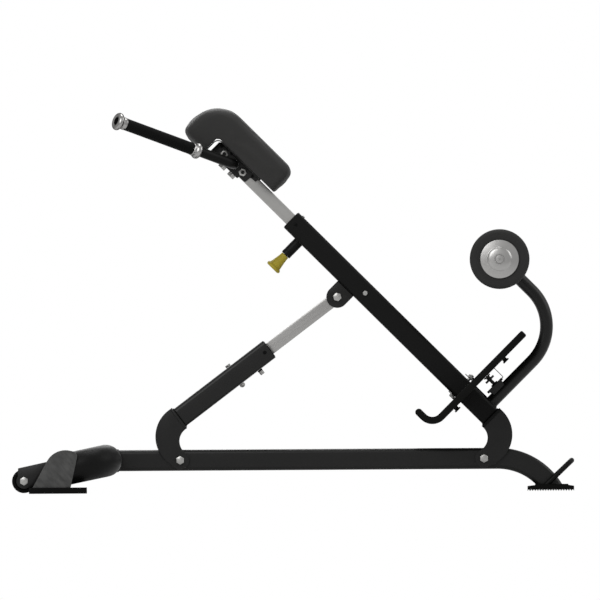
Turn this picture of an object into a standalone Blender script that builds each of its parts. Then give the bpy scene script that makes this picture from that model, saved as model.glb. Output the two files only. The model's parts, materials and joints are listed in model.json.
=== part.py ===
"""Hyperextension bench, modelled as separate pieces on real joint axes.

Metres, +Z up. +X runs from the wheeled rear end to the front foot, and the
bench is symmetric about the XZ plane. The origin is on the floor under the
middle of the bench.

Two tilted working frames are used. The frame_tilt_axis empty sits on the bolt
that the main frame turns on, with its local +X running down the main tube. The
strut_axis empty sits on the bolt at the strut's foot, with its local +X running
up the strut. In both, local +Z is square to the tube.
"""

import bmesh
import bpy
from math import acos, asin, atan2, ceil, cos, hypot, pi, radians, sin, sqrt
from mathutils import Matrix, Vector

# Clearances
SEAT_GAP = 0.0003          # between two pieces that touch
SIDE_GAP = 0.0005          # beside a plate that turns
SLIDE_GAP = 0.0003         # round a bar that slides in a guide
BOLT_CLEARANCE = 0.0003    # round a bolt's shank in its hole

# Tube stock: depth is in the side view, width is across the bench
TUBE_DEPTH = 0.050
TUBE_WIDTH = 0.080
TUBE_CORNER = 0.010
TUBE_WALL = 0.003

# Base
PIVOT_HEIGHT = 0.0775      # axis of the base tube and of both pivot bolts
TILT_PIVOT_X = 0.4532
STRUT_PIVOT_X = -0.2673
BASE_BEND_X = 0.4850       # where the base tube starts to bend down
BASE_BEND_RADIUS = 0.1530
BASE_BEND_ANGLE = radians(64)

# Rear crossbar, a round pipe bent to a U and sloping down to the feet
REAR_PIPE_X = -0.4437
REAR_PIPE_RADIUS = 0.0380
REAR_PIPE_WALL = 0.003
REAR_PIPE_SLOPE = radians(11.75)
REAR_HALF_TRACK = 0.290
REAR_BEND_RADIUS = 0.062
REAR_LEG_LENGTH = 0.0568
REAR_SIDES = 20
REAR_COPE_SIDES = 28       # finer than the pipe, so that the cut's flats clear it

# Rear feet and wheels
REAR_FOOT_START_X = -0.626
REAR_FOOT_LENGTH = 0.135
REAR_FOOT_WIDTH = 0.094
REAR_FOOT_HEIGHT = 0.0146
REAR_FOOT_CORNER = 0.012
REAR_FOOT_EDGE = 0.002
BOOT_WIDTH = 0.084
BOOT_HEEL_X = -0.5305
BOOT_TOE_X = -0.6140
BOOT_CROWN = (-0.5096, 0.0990, 0.013)       # X, Z and corner radius
BOOT_BROW = (-0.5710, 0.1043, 0.044)
WHEEL_X = -0.6378
WHEEL_HEIGHT = 0.0303
WHEEL_RADIUS = 0.0273
WHEEL_WIDTH = 0.024
WHEEL_TREAD_ROUND = 0.005
WHEEL_CLEARANCE = 0.002
WHEEL_DISH = 0.003
WHEEL_HUB_WIDTH = 0.006
WHEEL_RIM_WIDTH = 0.002
FORK_LUG_RADIUS = 0.018
FORK_CHEEK = 0.005
FORK_WEB = 0.006
FORK_WEB_HALF_HEIGHT = 0.020
FORK_LUG_ARC = (radians(295), radians(145))
FORK_LUG_STEPS = 8
FORK_CORNER = (-0.6516, 0.0610)
FORK_SHOULDER = (-0.5852, 0.0755)

# Front foot and lift handle: AHEAD values are measured from the start of the base tube's bend
FRONT_FOOT_AHEAD = 0.0716
FRONT_FOOT_LENGTH = 0.1085
FRONT_FOOT_WIDTH = 0.130
FRONT_FOOT_HEIGHT = 0.0136     # under the plate
FRONT_FOOT_END_HEIGHT = 0.0115
FRONT_FOOT_ROUND = 0.0014
FRONT_FOOT_TEETH = 18
TOOTH_HEIGHT = 0.0030
TOOTH_FLAT = 0.0012
FRONT_PLATE_THICKNESS = 0.0025
FRONT_PLATE_AHEAD = 0.0885
FRONT_PLATE_LENGTH = 0.0790
FRONT_PLATE_WIDTH = 0.124
FRONT_PLATE_CORNER = 0.010
LIFT_ROD_RADIUS = 0.0063
LIFT_ROD_ANGLE = radians(43.5)
LIFT_ROD_AHEAD = 0.1738     # the bend's outermost point
LIFT_ROD_HEIGHT = 0.0712
LIFT_HALF_WIDTH = 0.0515
LIFT_BEND_RADIUS = 0.018
LIFT_LEG_LENGTH = 0.090
LIFT_SIDES = 12

# C-shaped pivot brackets, one pair on the main frame and one on the strut
BRACKET_THICKNESS = 0.008
BRACKET_LIP = 0.0051       # how far the bracket stands proud of the tube's faces
BRACKET_STRAIGHT = 0.0045  # straight run at the tube's end, before the outer arc
BRACKET_OUTER_RADIUS = 0.078
BRACKET_LUG_RADIUS = 0.0215
BRACKET_EDGE = 0.0008
BRACKET_ARC_STEPS = 8
CAP_THICKNESS = 0.006
FRAME_FOOT = 0.0583        # from the pivot to the main tube's end, along the tube
FRAME_RISE = 0.0806        # from the pivot to the main tube's axis
STRUT_FOOT = 0.0600
STRUT_RISE = 0.0806

# Main tube
FRAME_ANGLE = radians(45)
MAIN_LENGTH = 0.6640
STOP_SCREW_DOWN = 0.2467   # from the top end down the tube

# Strut
SLEEVE_LENGTH = 0.2680
ROD_DEPTH = 0.026
ROD_WIDTH = 0.046
ROD_CORNER = 0.0012
ROD_WALL = 0.003
ROD_FOOT_UP = 0.2030       # from the strut's pivot to the rod's lower end
ROD_SOLID_END = 0.030
LOCK_BOLT_UP = 0.1660      # from the sleeve's lower end
JAM_SCREW_UP = 0.2200
JAM_COLLAR = (0.0068, 0.0045)     # radius and length, for these three
JAM_BOSS = (0.0055, 0.0100)
JAM_TAIL = (0.0018, 0.0040)
ROD_TRAVEL = 0.0914        # how far the rod runs in when the frame is lowered
ROD_SLOT_WIDTH = 0.009
ROD_SLOT_SPARE = 0.0015
GUIDE_LENGTH = 0.060
GUIDE_FLANGE = 0.004

# Clevis on the main tube
CLEVIS_DOWN = 0.2058       # from the main tube's top end
CLEVIS_DROP = 0.0529       # from the main tube's axis
CLEVIS_RADIUS = 0.026
CLEVIS_LUG = 0.008
CLEVIS_BASE = 0.004
CLEVIS_EYE_CLEARANCE = 0.0027

# Pull pin for the pad's height
PIN_DOWN = 0.0487          # from the main tube's top end
PIN_NOSE_RADIUS = 0.0050
PIN_SHANK_RADIUS = 0.0040
PIN_COLLAR_RADIUS = 0.0065
PIN_COLLAR_THICKNESS = 0.003
PIN_REACH = 0.0055         # how far the pin goes in from rest, to lock the slide
HOUSING_RADIUS = 0.0118
HOUSING_LENGTH = 0.0432
HOUSING_CHAMBER = 0.0070
HOUSING_END = 0.003
HOUSING_MOUTH = 0.0065     # recess that the knob's neck enters when the pin is in
HOUSING_MOUTH_GAP = 0.0010    # round that neck, which widens on its way in
KNOB_LENGTH = 0.0442
KNOB_NECK_RADIUS = 0.0085
KNOB_RADIUS = 0.0170
KNOB_RIM = 0.009
KNOB_FLARE = ((0.30, 0.28), (0.55, 0.66), (0.76, 1.0))    # shares of its length and of its widening
KNOB_BORE_DEPTH = 0.024
SPRING_WIRE = 0.0008
SPRING_TURNS = 5
SPRING_STEPS = 8
SPRING_LENGTH = 0.0170

# Pad slide and its bracket
SLIDE_DEPTH = 0.030
SLIDE_WIDTH = 0.060
SLIDE_CORNER = 0.004
SLIDE_WALL = 0.003
SLIDE_FOOT_DOWN = 0.1800   # lower end, from the main tube's top end
SLIDE_TOP_UP = 0.1700      # upper end, from the main tube's top end
SLIDE_HOLE_PITCH = 0.020
SLIDE_HOLES_BELOW = 5
SLIDE_HOLES_ABOVE = 3
PAD_BRACKET_START = 0.1185
PAD_BRACKET_END = 0.2540
PAD_BRACKET_CHEEK = 0.005
# Lower outline: place up the slide, height above its axis and corner radius
PAD_BRACKET_STEPS = ((0.1185, 0.0128, 0), (0.1235, 0.0115, 0.001), (0.1235, 0.0052, 0.001),
                     (0.1390, 0.0037, 0.002), (0.1412, -0.0140, 0.003), (0.1600, -0.0140, 0),
                     (0.1600, -0.0200, 0.003), (0.2540, -0.0200, 0.003), (0.2540, 0.0090, 0.001))
PAD_BRACKET_BEVEL = 0.0100
PAD_BRACKET_WEB = 0.006
BACK_PLATE_THICKNESS = 0.0026
BACK_PLATE_WIDTH = 0.190
BACK_PLATE_BEND = 0.0160
BACK_PLATE_LIP_GAP = 0.0015  # between the bent leg and the pad's lip
BACK_PLATE_DROP = 0.0300   # how far the bent leg reaches below the slide's axis

# Hip pad, an L in the side view
PAD_START = 0.0723         # lower end, from the main tube's top end
PAD_END = 0.3345
PAD_FRONT = 0.0880         # crown above the slide's axis
PAD_LIP_THICKNESS = 0.0718
PAD_LIP_DROP = 0.0342
PAD_WIDTH = 0.230
PAD_TOP_ROUND = 0.076
PAD_FOOT_ROUND = 0.021
PAD_TIP_ROUND = 0.020
PAD_NOTCH_ROUND = 0.010
PAD_CORNER_STEPS = (2, 4, 3, 6, 10, 6)
# Share of the half width, and how far the cover is drawn in there
PAD_DRAW_IN = ((0.0, 0.0), (0.45, 0.0006), (0.75, 0.0022), (0.90, 0.0055), (0.97, 0.0105), (1.0, 0.0180))

# Handles
HANDLE_BAR_UP = 0.1900     # middle of the bar, from the main tube's top end
HANDLE_BAR_DROP = 0.0017   # below the slide's axis
HANDLE_CORNER_Y = 0.105    # where the bar's middle and the handles' lines meet
HANDLE_BEND_RADIUS = 0.036
HANDLE_LENGTH = 0.3300     # from that corner to the end
HANDLE_TILT = radians(24.35)
HANDLE_SPLAY = radians(27.0)
HANDLE_RADIUS = 0.0118
HANDLE_WALL = 0.0025
GRIP_RADIUS = 0.0145
GRIP_LENGTH = 0.1880
COLLAR_RADIUS = 0.0192
COLLAR_NECK_RADIUS = 0.0160
COLLAR_LENGTH = 0.0260
CAP_LENGTH = 0.0270
CAP_RADIUS = 0.0212
CAP_NECK_RADIUS = 0.0162
CAP_SOCKET_RADIUS = 0.0100
CAP_SOCKET_DEPTH = 0.007

# Roller arm and rollers
ARM_RADIUS = 0.01525
ARM_WALL = 0.0025
ARM_BEND_RADIUS = 0.118
ARM_FOOT_UP = 0.0809       # from the pivot up the tube
ARM_ROLLER_UP = 0.3058
ARM_ROLLER_RISE = 0.3619
ARM_BOSS_RADIUS = 0.019
ARM_BOSS_WIDTH = 0.044
AXLE_RADIUS = 0.0123
ROLLER_RADIUS = 0.071
ROLLER_LENGTH = 0.178
ROLLER_ROUND = 0.010
HUB_CORE_RADIUS = 0.0250
HUB_DISC_RADIUS = 0.04575
HUB_DISC_THICKNESS = 0.004
HUB_DOME_RADIUS = 0.0290
HUB_DOME_HEIGHT = 0.006
HUB_DOME_STEPS = ((0.004, 0.55), (0.010, 0.85))    # in from the dome's edge, and share of its height
HUB_CAP_RADIUS = 0.0115
HUB_EDGE = 0.0015
AXLE_INSET = 0.004         # the axle ends this far inside the hub's disc
ROLLER_GAP = 0.0015        # between the arm's boss and a roller

# Foot platform
PLATFORM_UP = 0.1415       # from the pivot up the tube
PLATFORM_THICKNESS = 0.0172
PLATFORM_TOP_RISE = 0.2800
PLATFORM_FOOT_DROP = 0.0395
PLATFORM_TOE_UP = 0.1955
PLATFORM_BEND_RADIUS = 0.030
PLATFORM_WIDTH = 0.400
PLATFORM_SKIN = 0.003
PLATFORM_EDGE = 0.004
PLATFORM_TOP_RIM = 0.014   # left uncut above and ahead of the recesses in its back
PLATFORM_TOE_RIM = 0.010
PLATFORM_SPINE = 0.100
PLATFORM_WINDOW_GAP = 0.0015
PLATFORM_BEND_STEPS = 6
TAB_THICKNESS = 0.002
TAB_WIDTH = 0.040
TAB_UP = 0.1720
TAB_LIFT = 0.0045
TAB_ROOT = 0.001           # how far a tab runs into the plate
PLATFORM_BOLT_UP = 0.1572
STOP_RISE = 0.1425
STOP_STEM_RADIUS = 0.0055
STOP_STEM_LENGTH = 0.0081
STOP_HEAD_RADIUS = 0.0130
STOP_HEAD_THICKNESS = 0.005
STOP_ROD_RADIUS = 0.0028
ARM_SADDLE_UP = 0.1058
ARM_SADDLE_LOW = 0.1166
ARM_SADDLE_HIGH = 0.1649
ARM_SADDLE_WIDTH = 0.042
ARM_SADDLE_EDGE = 0.0006

# Fasteners: shank radius, across flats, head height and nut height
M12 = (0.0060, 0.019, 0.0075, 0.0100)
M8 = (0.0040, 0.013, 0.0055, 0.0065)
BOLT_SIDES = 12
BOLT_TIP = 0.0025
BOLT_CHAMFER = 0.0008
BOLT_RIM_SHARE = 0.96      # of the width across flats, where the chamfer ends

# Facets
CORNER_STEPS = 2
PIPE_SIDES = 14
ROUND_SIDES = 20
BEND_STEP = radians(15)

# Values that follow from the sizes above
FRONT_FOOT_START_X = BASE_BEND_X + FRONT_FOOT_AHEAD
FRONT_PLATE_START_X = BASE_BEND_X + FRONT_PLATE_AHEAD
LIFT_ROD_TOP = (BASE_BEND_X + LIFT_ROD_AHEAD, LIFT_ROD_HEIGHT)
BACK_PLATE_START = PAD_BRACKET_START
FRAME_TOP = FRAME_FOOT + MAIN_LENGTH
FRAME_TOP_FACE = FRAME_RISE + TUBE_DEPTH / 2
FRAME_LOWER_FACE = FRAME_RISE - TUBE_DEPTH / 2
BRACKET_Y = TUBE_WIDTH / 2 + SIDE_GAP + BRACKET_THICKNESS / 2
BRACKET_OUTSIDE = BRACKET_Y + BRACKET_THICKNESS / 2
CLEVIS_HALF_WIDTH = ROD_WIDTH / 2 + SIDE_GAP + CLEVIS_LUG
PAD_BRACKET_INSIDE = SLIDE_WIDTH / 2 + SLIDE_GAP
BASE_END_HEIGHT = FRONT_FOOT_HEIGHT + FRONT_PLATE_THICKNESS + 2 * SEAT_GAP


def clear_scene():
    """Remove every object, so the script starts from an empty scene."""
    for item in list(bpy.data.objects):
        bpy.data.objects.remove(item)


def make_material(name, colour, roughness, metallic=0.0):
    """A Principled BSDF material of one colour."""
    material = bpy.data.materials.new(name)
    material.use_nodes = True
    shader = material.node_tree.nodes["Principled BSDF"]
    shader.inputs["Base Color"].default_value = (*colour, 1.0)
    shader.inputs["Roughness"].default_value = roughness
    shader.inputs["Metallic"].default_value = metallic
    material.diffuse_color = (*colour, 1.0)
    return material


def make_materials():
    """The finishes of the bench, by name."""
    return {
        "black_paint": make_material("black_paint", (0.020, 0.020, 0.020), 0.45),
        "satin_steel": make_material("satin_steel", (0.30, 0.29, 0.28), 0.35, 1.0),
        "zinc": make_material("zinc", (0.55, 0.55, 0.53), 0.30, 1.0),
        "vinyl": make_material("vinyl", (0.032, 0.031, 0.030), 0.55),
        "rubber": make_material("rubber", (0.012, 0.012, 0.012), 0.80),
        "foam": make_material("foam", (0.026, 0.026, 0.026), 0.75),
        "boot_plastic": make_material("boot_plastic", (0.060, 0.060, 0.060), 0.85),
        "guide_plastic": make_material("guide_plastic", (0.008, 0.008, 0.008), 0.60),
        "knob_plastic": make_material("knob_plastic", (0.30, 0.26, 0.022), 0.45),
    }


def make_empty(name, location, angle):
    """A working frame at a point of the XZ plane, turned about Y."""
    empty = bpy.data.objects.new(name, None)
    bpy.context.scene.collection.objects.link(empty)
    empty.location = location
    empty.rotation_euler = (0.0, angle, 0.0)
    return empty


def place(name, bm, material=None, parent=None, location=(0, 0, 0), rotation=(0, 0, 0), smooth=35):
    """Turn a bmesh into an object, with its faces pointing out and round parts smooth."""
    bmesh.ops.recalc_face_normals(bm, faces=bm.faces)
    mesh = bpy.data.meshes.new(name)
    bm.to_mesh(mesh)
    bm.free()
    if smooth:
        mesh.shade_smooth()
        mesh.set_sharp_from_angle(angle=radians(smooth))
    item = bpy.data.objects.new(name, mesh)
    bpy.context.scene.collection.objects.link(item)
    item.parent = parent
    item.location = location
    item.rotation_euler = rotation
    if material:
        mesh.materials.append(material)
    return item


def combine(target, name, bm, operation, location=(0, 0, 0), rotation=(0, 0, 0), parent="same"):
    """Cut a shape out of a piece, or join one to it, with a Boolean modifier."""
    owner = target.parent if parent == "same" else parent
    tool = place(name, bm, None, owner, location, rotation, smooth=0)
    tool.hide_render = True
    tool.display_type = 'WIRE'
    boolean = target.modifiers.new(name, 'BOOLEAN')
    boolean.operation = operation
    boolean.solver = 'EXACT'
    boolean.object = tool
    return tool


def cut(target, name, bm, **where):
    """Cut a shape out of a piece."""
    return combine(target, name, bm, 'DIFFERENCE', **where)


def join(target, name, bm, **where):
    """Join a shape to a piece."""
    return combine(target, name, bm, 'UNION', **where)


def soften(item, width, segments=1, angle=50):
    """Break the sharp edges of a piece."""
    bevel = item.modifiers.new("edge_break", 'BEVEL')
    bevel.width = width
    bevel.segments = segments
    bevel.limit_method = 'ANGLE'
    bevel.angle_limit = radians(angle)


def hollow(item, wall):
    """Give an open shell its wall, inwards."""
    solidify = item.modifiers.new("wall", 'SOLIDIFY')
    solidify.thickness = wall
    solidify.offset = -1.0
    solidify.use_even_offset = True


def arc(centre, radius, start, end, steps):
    """Points on an arc in a plane, both ends included."""
    turn = (end - start) / steps
    return [(centre[0] + radius * cos(start + turn * i), centre[1] + radius * sin(start + turn * i))
            for i in range(steps + 1)]


def arc_steps(angle, step=BEND_STEP):
    """How many straight steps stand for a bend."""
    return max(2, ceil(abs(angle) / step))


def rounded_rectangle(half_u, half_v, radius, steps=CORNER_STEPS):
    """A closed outline of a rectangle with round corners."""
    points = []
    for quarter, (su, sv) in enumerate(((1, 1), (-1, 1), (-1, -1), (1, -1))):
        centre = (su * (half_u - radius), sv * (half_v - radius))
        points += arc(centre, radius, quarter * pi / 2, (quarter + 1) * pi / 2, steps)
    return points


def round_corners(corners, step=BEND_STEP):
    """An outline whose corners, given as (u, v, radius), are rounded with arcs."""
    points = []
    count = len(corners)
    for i, (u, v, radius) in enumerate(corners):
        here = Vector((u, v))
        if radius <= 0.0:
            points.append((u, v))
            continue
        before = (Vector(corners[i - 1][:2]) - here).normalized()
        after = (Vector(corners[(i + 1) % count][:2]) - here).normalized()
        half = acos(max(-1.0, min(1.0, before.dot(after)))) / 2
        centre = here + (before + after).normalized() * (radius / sin(half))
        reach = radius / (sin(half) / cos(half))
        first = here + before * reach - centre
        last = here + after * reach - centre
        start = atan2(first.y, first.x)
        sweep = (atan2(last.y, last.x) - start + pi) % (2 * pi) - pi
        points += arc(centre, radius, start, start + sweep, arc_steps(sweep, step))
    return points


def prism(outline, low_y, high_y):
    """A plate: an outline in XZ with its thickness along Y."""
    bm = bmesh.new()
    ring = [bm.verts.new((u, low_y, v)) for u, v in outline]
    face = bm.faces.new(ring)
    grown = bmesh.ops.extrude_face_region(bm, geom=[face])
    moved = [item for item in grown["geom"] if isinstance(item, bmesh.types.BMVert)]
    bmesh.ops.translate(bm, verts=moved, vec=(0.0, high_y - low_y, 0.0))
    return bm


def block(low, high):
    """A rectangular block between two corners."""
    outline = [(low[0], low[2]), (high[0], low[2]), (high[0], high[2]), (low[0], high[2])]
    return prism(outline, low[1], high[1])


def cylinder(radius, start, end, sides=ROUND_SIDES):
    """A solid cylinder between two points."""
    start, end = Vector(start), Vector(end)
    bm = bmesh.new()
    bmesh.ops.create_cone(bm, cap_ends=True, segments=sides, radius1=radius, radius2=radius,
                          depth=(end - start).length)
    turn = (end - start).to_track_quat('Z', 'Y').to_matrix().to_4x4()
    bmesh.ops.transform(bm, matrix=Matrix.Translation((start + end) / 2) @ turn, verts=bm.verts)
    return bm


def turned(profile, sides=ROUND_SIDES, closed=False):
    """A turned piece: a (radius, height) profile spun about Z."""
    bm = bmesh.new()
    points = [bm.verts.new((radius, 0.0, height)) for radius, height in profile]
    edges = [bm.edges.new(pair) for pair in zip(points, points[1:])]
    if closed:
        edges.append(bm.edges.new((points[-1], points[0])))
    bmesh.ops.spin(bm, geom=points + edges, cent=(0, 0, 0), axis=(0, 0, 1), angle=2 * pi, steps=sides)
    bmesh.ops.remove_doubles(bm, verts=bm.verts, dist=0.00002)
    return bm


def sweep(sections, capped):
    """A skin through sections of equal point count, each a list of 3-D points."""
    bm = bmesh.new()
    rings = [[bm.verts.new(point) for point in section] for section in sections]
    for one, two in zip(rings, rings[1:]):
        count = len(one)
        for i in range(count):
            bm.faces.new((one[i], one[(i + 1) % count], two[(i + 1) % count], two[i]))
    if capped:
        bm.faces.new(rings[0])
        bm.faces.new(rings[-1])
    return bm


def section_at(outline, origin, u_axis, v_axis):
    """An outline placed in space by an origin and two axes."""
    origin, u_axis, v_axis = Vector(origin), Vector(u_axis), Vector(v_axis)
    return [origin + u_axis * u + v_axis * v for u, v in outline]


def path_sections(outline, path, side):
    """Sections along a path of (point, direction), with the outline's v along the side axis."""
    side = Vector(side)
    return [section_at(outline, point, Vector(direction).cross(side).normalized(), side)
            for point, direction in path]


def circle(radius, sides=PIPE_SIDES):
    """A closed ring of points."""
    return [(radius * cos(2 * pi * i / sides), radius * sin(2 * pi * i / sides)) for i in range(sides)]


def bolt(size, grip):
    """A hex bolt with its nut, along Z: the head rests at 0 and the nut at -grip."""
    shank, flats, head, nut = size
    rim = flats / 2 * BOLT_RIM_SHARE

    def ring(radii, height):
        turns = [2 * pi * i / BOLT_SIDES for i in range(BOLT_SIDES)]
        return [(radii[i % 2] * cos(turn), radii[i % 2] * sin(turn), height) for i, turn in enumerate(turns)]

    hexagon = (flats / sqrt(3), flats / 2)
    head_rings = [ring((rim, rim), head), ring(hexagon, head - BOLT_CHAMFER), ring(hexagon, 0.0),
                  ring((shank, shank), 0.0)]
    nut_end = -grip - nut
    nut_rings = [ring((shank, shank), -grip), ring(hexagon, -grip), ring(hexagon, nut_end + BOLT_CHAMFER),
                 ring((rim, rim), nut_end), ring((shank, shank), nut_end)]
    return sweep(head_rings + nut_rings + [ring((shank, shank), nut_end - BOLT_TIP)], capped=True)


def across(sign):
    """Rotation that points a piece's Z axis along Y, towards one side of the bench."""
    return (-sign * pi / 2, 0.0, 0.0)


def sides():
    """The two sides of the bench: name and sign along Y. The near side is at -Y."""
    return (("near", -1), ("far", 1))


def strut_geometry():
    """Angle of the strut and how far up it the clevis bolt lies, from its own pivot."""
    clevis_x = -(FRAME_TOP - CLEVIS_DOWN)
    clevis_z = FRAME_RISE - CLEVIS_DROP
    world_x = TILT_PIVOT_X + clevis_x * cos(FRAME_ANGLE) + clevis_z * sin(FRAME_ANGLE)
    world_z = PIVOT_HEIGHT - clevis_x * sin(FRAME_ANGLE) + clevis_z * cos(FRAME_ANGLE)
    reach_x = world_x - STRUT_PIVOT_X
    reach_z = world_z - PIVOT_HEIGHT
    length = hypot(reach_x, reach_z)
    return atan2(reach_z, reach_x) - asin(STRUT_RISE / length), sqrt(length ** 2 - STRUT_RISE ** 2)


def leg_point(distance, offset):
    """A point in the XZ plane on the rear pipe's leg, by distance along and square to it."""
    along = (-cos(REAR_PIPE_SLOPE), -sin(REAR_PIPE_SLOPE))
    square = (-sin(REAR_PIPE_SLOPE), cos(REAR_PIPE_SLOPE))
    return (REAR_PIPE_X + along[0] * distance + square[0] * offset,
            PIVOT_HEIGHT + along[1] * distance + square[1] * offset)


def make_base_tube(finish):
    """Flat-sided tube along the floor, coped onto the rear pipe and bent down at the front."""
    outline = rounded_rectangle(TUBE_DEPTH / 2, TUBE_WIDTH / 2, TUBE_CORNER)
    start_x = REAR_PIPE_X + REAR_PIPE_RADIUS / 2
    path = [((start_x, 0, PIVOT_HEIGHT), (1, 0, 0))]
    centre = (BASE_BEND_X, PIVOT_HEIGHT - BASE_BEND_RADIUS)
    steps = arc_steps(BASE_BEND_ANGLE, BEND_STEP / 2)
    for i in range(steps + 1):
        turn = BASE_BEND_ANGLE * i / steps
        point = (centre[0] + BASE_BEND_RADIUS * sin(turn), 0, centre[1] + BASE_BEND_RADIUS * cos(turn))
        path.append((point, (cos(turn), 0, -sin(turn))))
    tube = place("base_tube", sweep(path_sections(outline, path, (0, 1, 0)), capped=False), finish)
    hollow(tube, TUBE_WALL)
    reach = TUBE_WIDTH
    cut(tube, "cope_cutter",
        cylinder(REAR_PIPE_RADIUS + SEAT_GAP, (0, -reach, 0), (0, reach, 0), REAR_COPE_SIDES),
        location=(REAR_PIPE_X, 0, PIVOT_HEIGHT))
    end_x = BASE_BEND_X + 2 * BASE_BEND_RADIUS
    cut(tube, "floor_cutter",
        block((BASE_BEND_X, -reach, -BASE_BEND_RADIUS), (end_x, reach, BASE_END_HEIGHT)))
    for name, bolt_x in (("tilt_bore", TILT_PIVOT_X), ("strut_bore", STRUT_PIVOT_X)):
        cut(tube, name, cylinder(M12[0] + BOLT_CLEARANCE, (0, -reach, 0), (0, reach, 0), PIPE_SIDES),
            location=(bolt_x, 0, PIVOT_HEIGHT))
    return tube


def make_rear_crossbar(finish):
    """Round pipe bent to a U, which carries a foot and a wheel at each end."""
    inner = REAR_HALF_TRACK - REAR_BEND_RADIUS
    leg_end = REAR_BEND_RADIUS + REAR_LEG_LENGTH
    path = [((-leg_end, -REAR_HALF_TRACK, 0), (1, 0, 0))]
    steps = arc_steps(pi / 2)
    for i in range(steps + 1):
        turn = pi / 2 * i / steps
        path.append(((REAR_BEND_RADIUS * (sin(turn) - 1), -inner - REAR_BEND_RADIUS * cos(turn), 0),
                     (cos(turn), sin(turn), 0)))
    for i in range(steps + 1):
        turn = pi / 2 * i / steps
        path.append(((REAR_BEND_RADIUS * (cos(turn) - 1), inner + REAR_BEND_RADIUS * sin(turn), 0),
                     (-sin(turn), cos(turn), 0)))
    path.append(((-leg_end, REAR_HALF_TRACK, 0), (-1, 0, 0)))
    sections = path_sections(circle(REAR_PIPE_RADIUS, REAR_SIDES), path, (0, 0, 1))
    pipe = place("rear_crossbar", sweep(sections, capped=False), finish,
                 location=(REAR_PIPE_X, 0, PIVOT_HEIGHT), rotation=(0, -REAR_PIPE_SLOPE, 0))
    hollow(pipe, REAR_PIPE_WALL)
    return pipe


def make_rear_feet(finishes):
    """For each side: the moulded boot over the pipe's end, the tread pad, the wheel fork and its wheel."""
    boot_floor = REAR_FOOT_HEIGHT + SEAT_GAP
    boot_outline = round_corners([
        (BOOT_TOE_X, boot_floor, 0), (BOOT_HEEL_X, boot_floor, 0), BOOT_CROWN, BOOT_BROW])
    leg_end = REAR_BEND_RADIUS + REAR_LEG_LENGTH
    web_low = leg_point(leg_end + SEAT_GAP, -FORK_WEB_HALF_HEIGHT)
    web_high = leg_point(leg_end + SEAT_GAP, FORK_WEB_HALF_HEIGHT)
    lug = arc((WHEEL_X, WHEEL_HEIGHT), FORK_LUG_RADIUS, *FORK_LUG_ARC, FORK_LUG_STEPS)
    fork_outline = [web_low] + lug + [FORK_CORNER, FORK_SHOULDER, web_high]
    inner = WHEEL_WIDTH / 2 + SIDE_GAP
    outer = inner + FORK_CHEEK
    slot_end = leg_point(leg_end + SEAT_GAP + FORK_WEB, 0.0)[0]
    centre_x = REAR_FOOT_START_X + REAR_FOOT_LENGTH / 2
    pad_outline = rounded_rectangle(REAR_FOOT_LENGTH / 2, REAR_FOOT_WIDTH / 2, REAR_FOOT_CORNER)
    for side, sign in sides():
        y = sign * REAR_HALF_TRACK
        boot = place(f"rear_boot_{side}", prism(boot_outline, -BOOT_WIDTH / 2, BOOT_WIDTH / 2),
                     finishes["boot_plastic"], location=(0, y, 0))
        bore_start = leg_point(0, 0)
        bore_end = leg_point(2 * leg_end, 0)
        cut(boot, f"boot_bore_{side}",
            cylinder(REAR_PIPE_RADIUS + SEAT_GAP, (bore_start[0], 0, bore_start[1]),
                     (bore_end[0], 0, bore_end[1]), REAR_COPE_SIDES), location=(0, y, 0))
        pad = place(f"rear_foot_{side}", sweep([section_at(pad_outline, (0, 0, height), (1, 0, 0), (0, 1, 0))
                                                for height in (0.0, REAR_FOOT_HEIGHT)], capped=True),
                    finishes["rubber"], location=(centre_x, y, 0))
        notch = WHEEL_WIDTH / 2 + WHEEL_CLEARANCE
        cut(pad, f"wheel_notch_{side}",
            cylinder(WHEEL_RADIUS + WHEEL_CLEARANCE, (0, -notch, 0), (0, notch, 0)),
            location=(WHEEL_X, y, WHEEL_HEIGHT))
        soften(pad, REAR_FOOT_EDGE)
        fork = place(f"wheel_fork_{side}", prism(fork_outline, -outer, outer), finishes["black_paint"],
                     location=(0, y, 0))
        cut(fork, f"fork_slot_{side}",
            block((slot_end - REAR_FOOT_LENGTH, -inner, 0), (slot_end, inner, 2 * PIVOT_HEIGHT)),
            location=(0, y, 0))
        cut(fork, f"fork_bore_{side}",
            cylinder(M12[0] + BOLT_CLEARANCE, (0, -REAR_FOOT_WIDTH, 0), (0, REAR_FOOT_WIDTH, 0), PIPE_SIDES),
            location=(WHEEL_X, y, WHEEL_HEIGHT))
        make_wheel(side, sign, y, outer, finishes)


def make_wheel(side, sign, y, fork_half_width, finishes):
    """A solid tyre with a dished face, and the bolt that it turns on."""
    half = WHEEL_WIDTH / 2
    bore = M12[0] + SLIDE_GAP
    hub = bore + WHEEL_HUB_WIDTH
    rim = WHEEL_RADIUS - WHEEL_TREAD_ROUND
    rim_inside = rim - WHEEL_RIM_WIDTH
    floor = half - WHEEL_DISH
    shoulder = half - WHEEL_TREAD_ROUND
    low_face = [(bore, -half), (hub, -half), (hub, -floor), (rim_inside, -floor), (rim_inside, -half)]
    tread = [(rim, -half), (WHEEL_RADIUS, -shoulder), (WHEEL_RADIUS, shoulder), (rim, half)]
    high_face = [(radius, -height) for radius, height in reversed(low_face)]
    profile = low_face + tread + high_face
    place(f"wheel_{side}", turned(profile, closed=True), finishes["rubber"],
          location=(WHEEL_X, y, WHEEL_HEIGHT), rotation=across(sign))
    grip = 2 * (fork_half_width + SEAT_GAP)
    place(f"wheel_bolt_{side}", bolt(M12, grip), finishes["zinc"],
          location=(WHEEL_X, y + sign * grip / 2, WHEEL_HEIGHT), rotation=across(sign))


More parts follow.
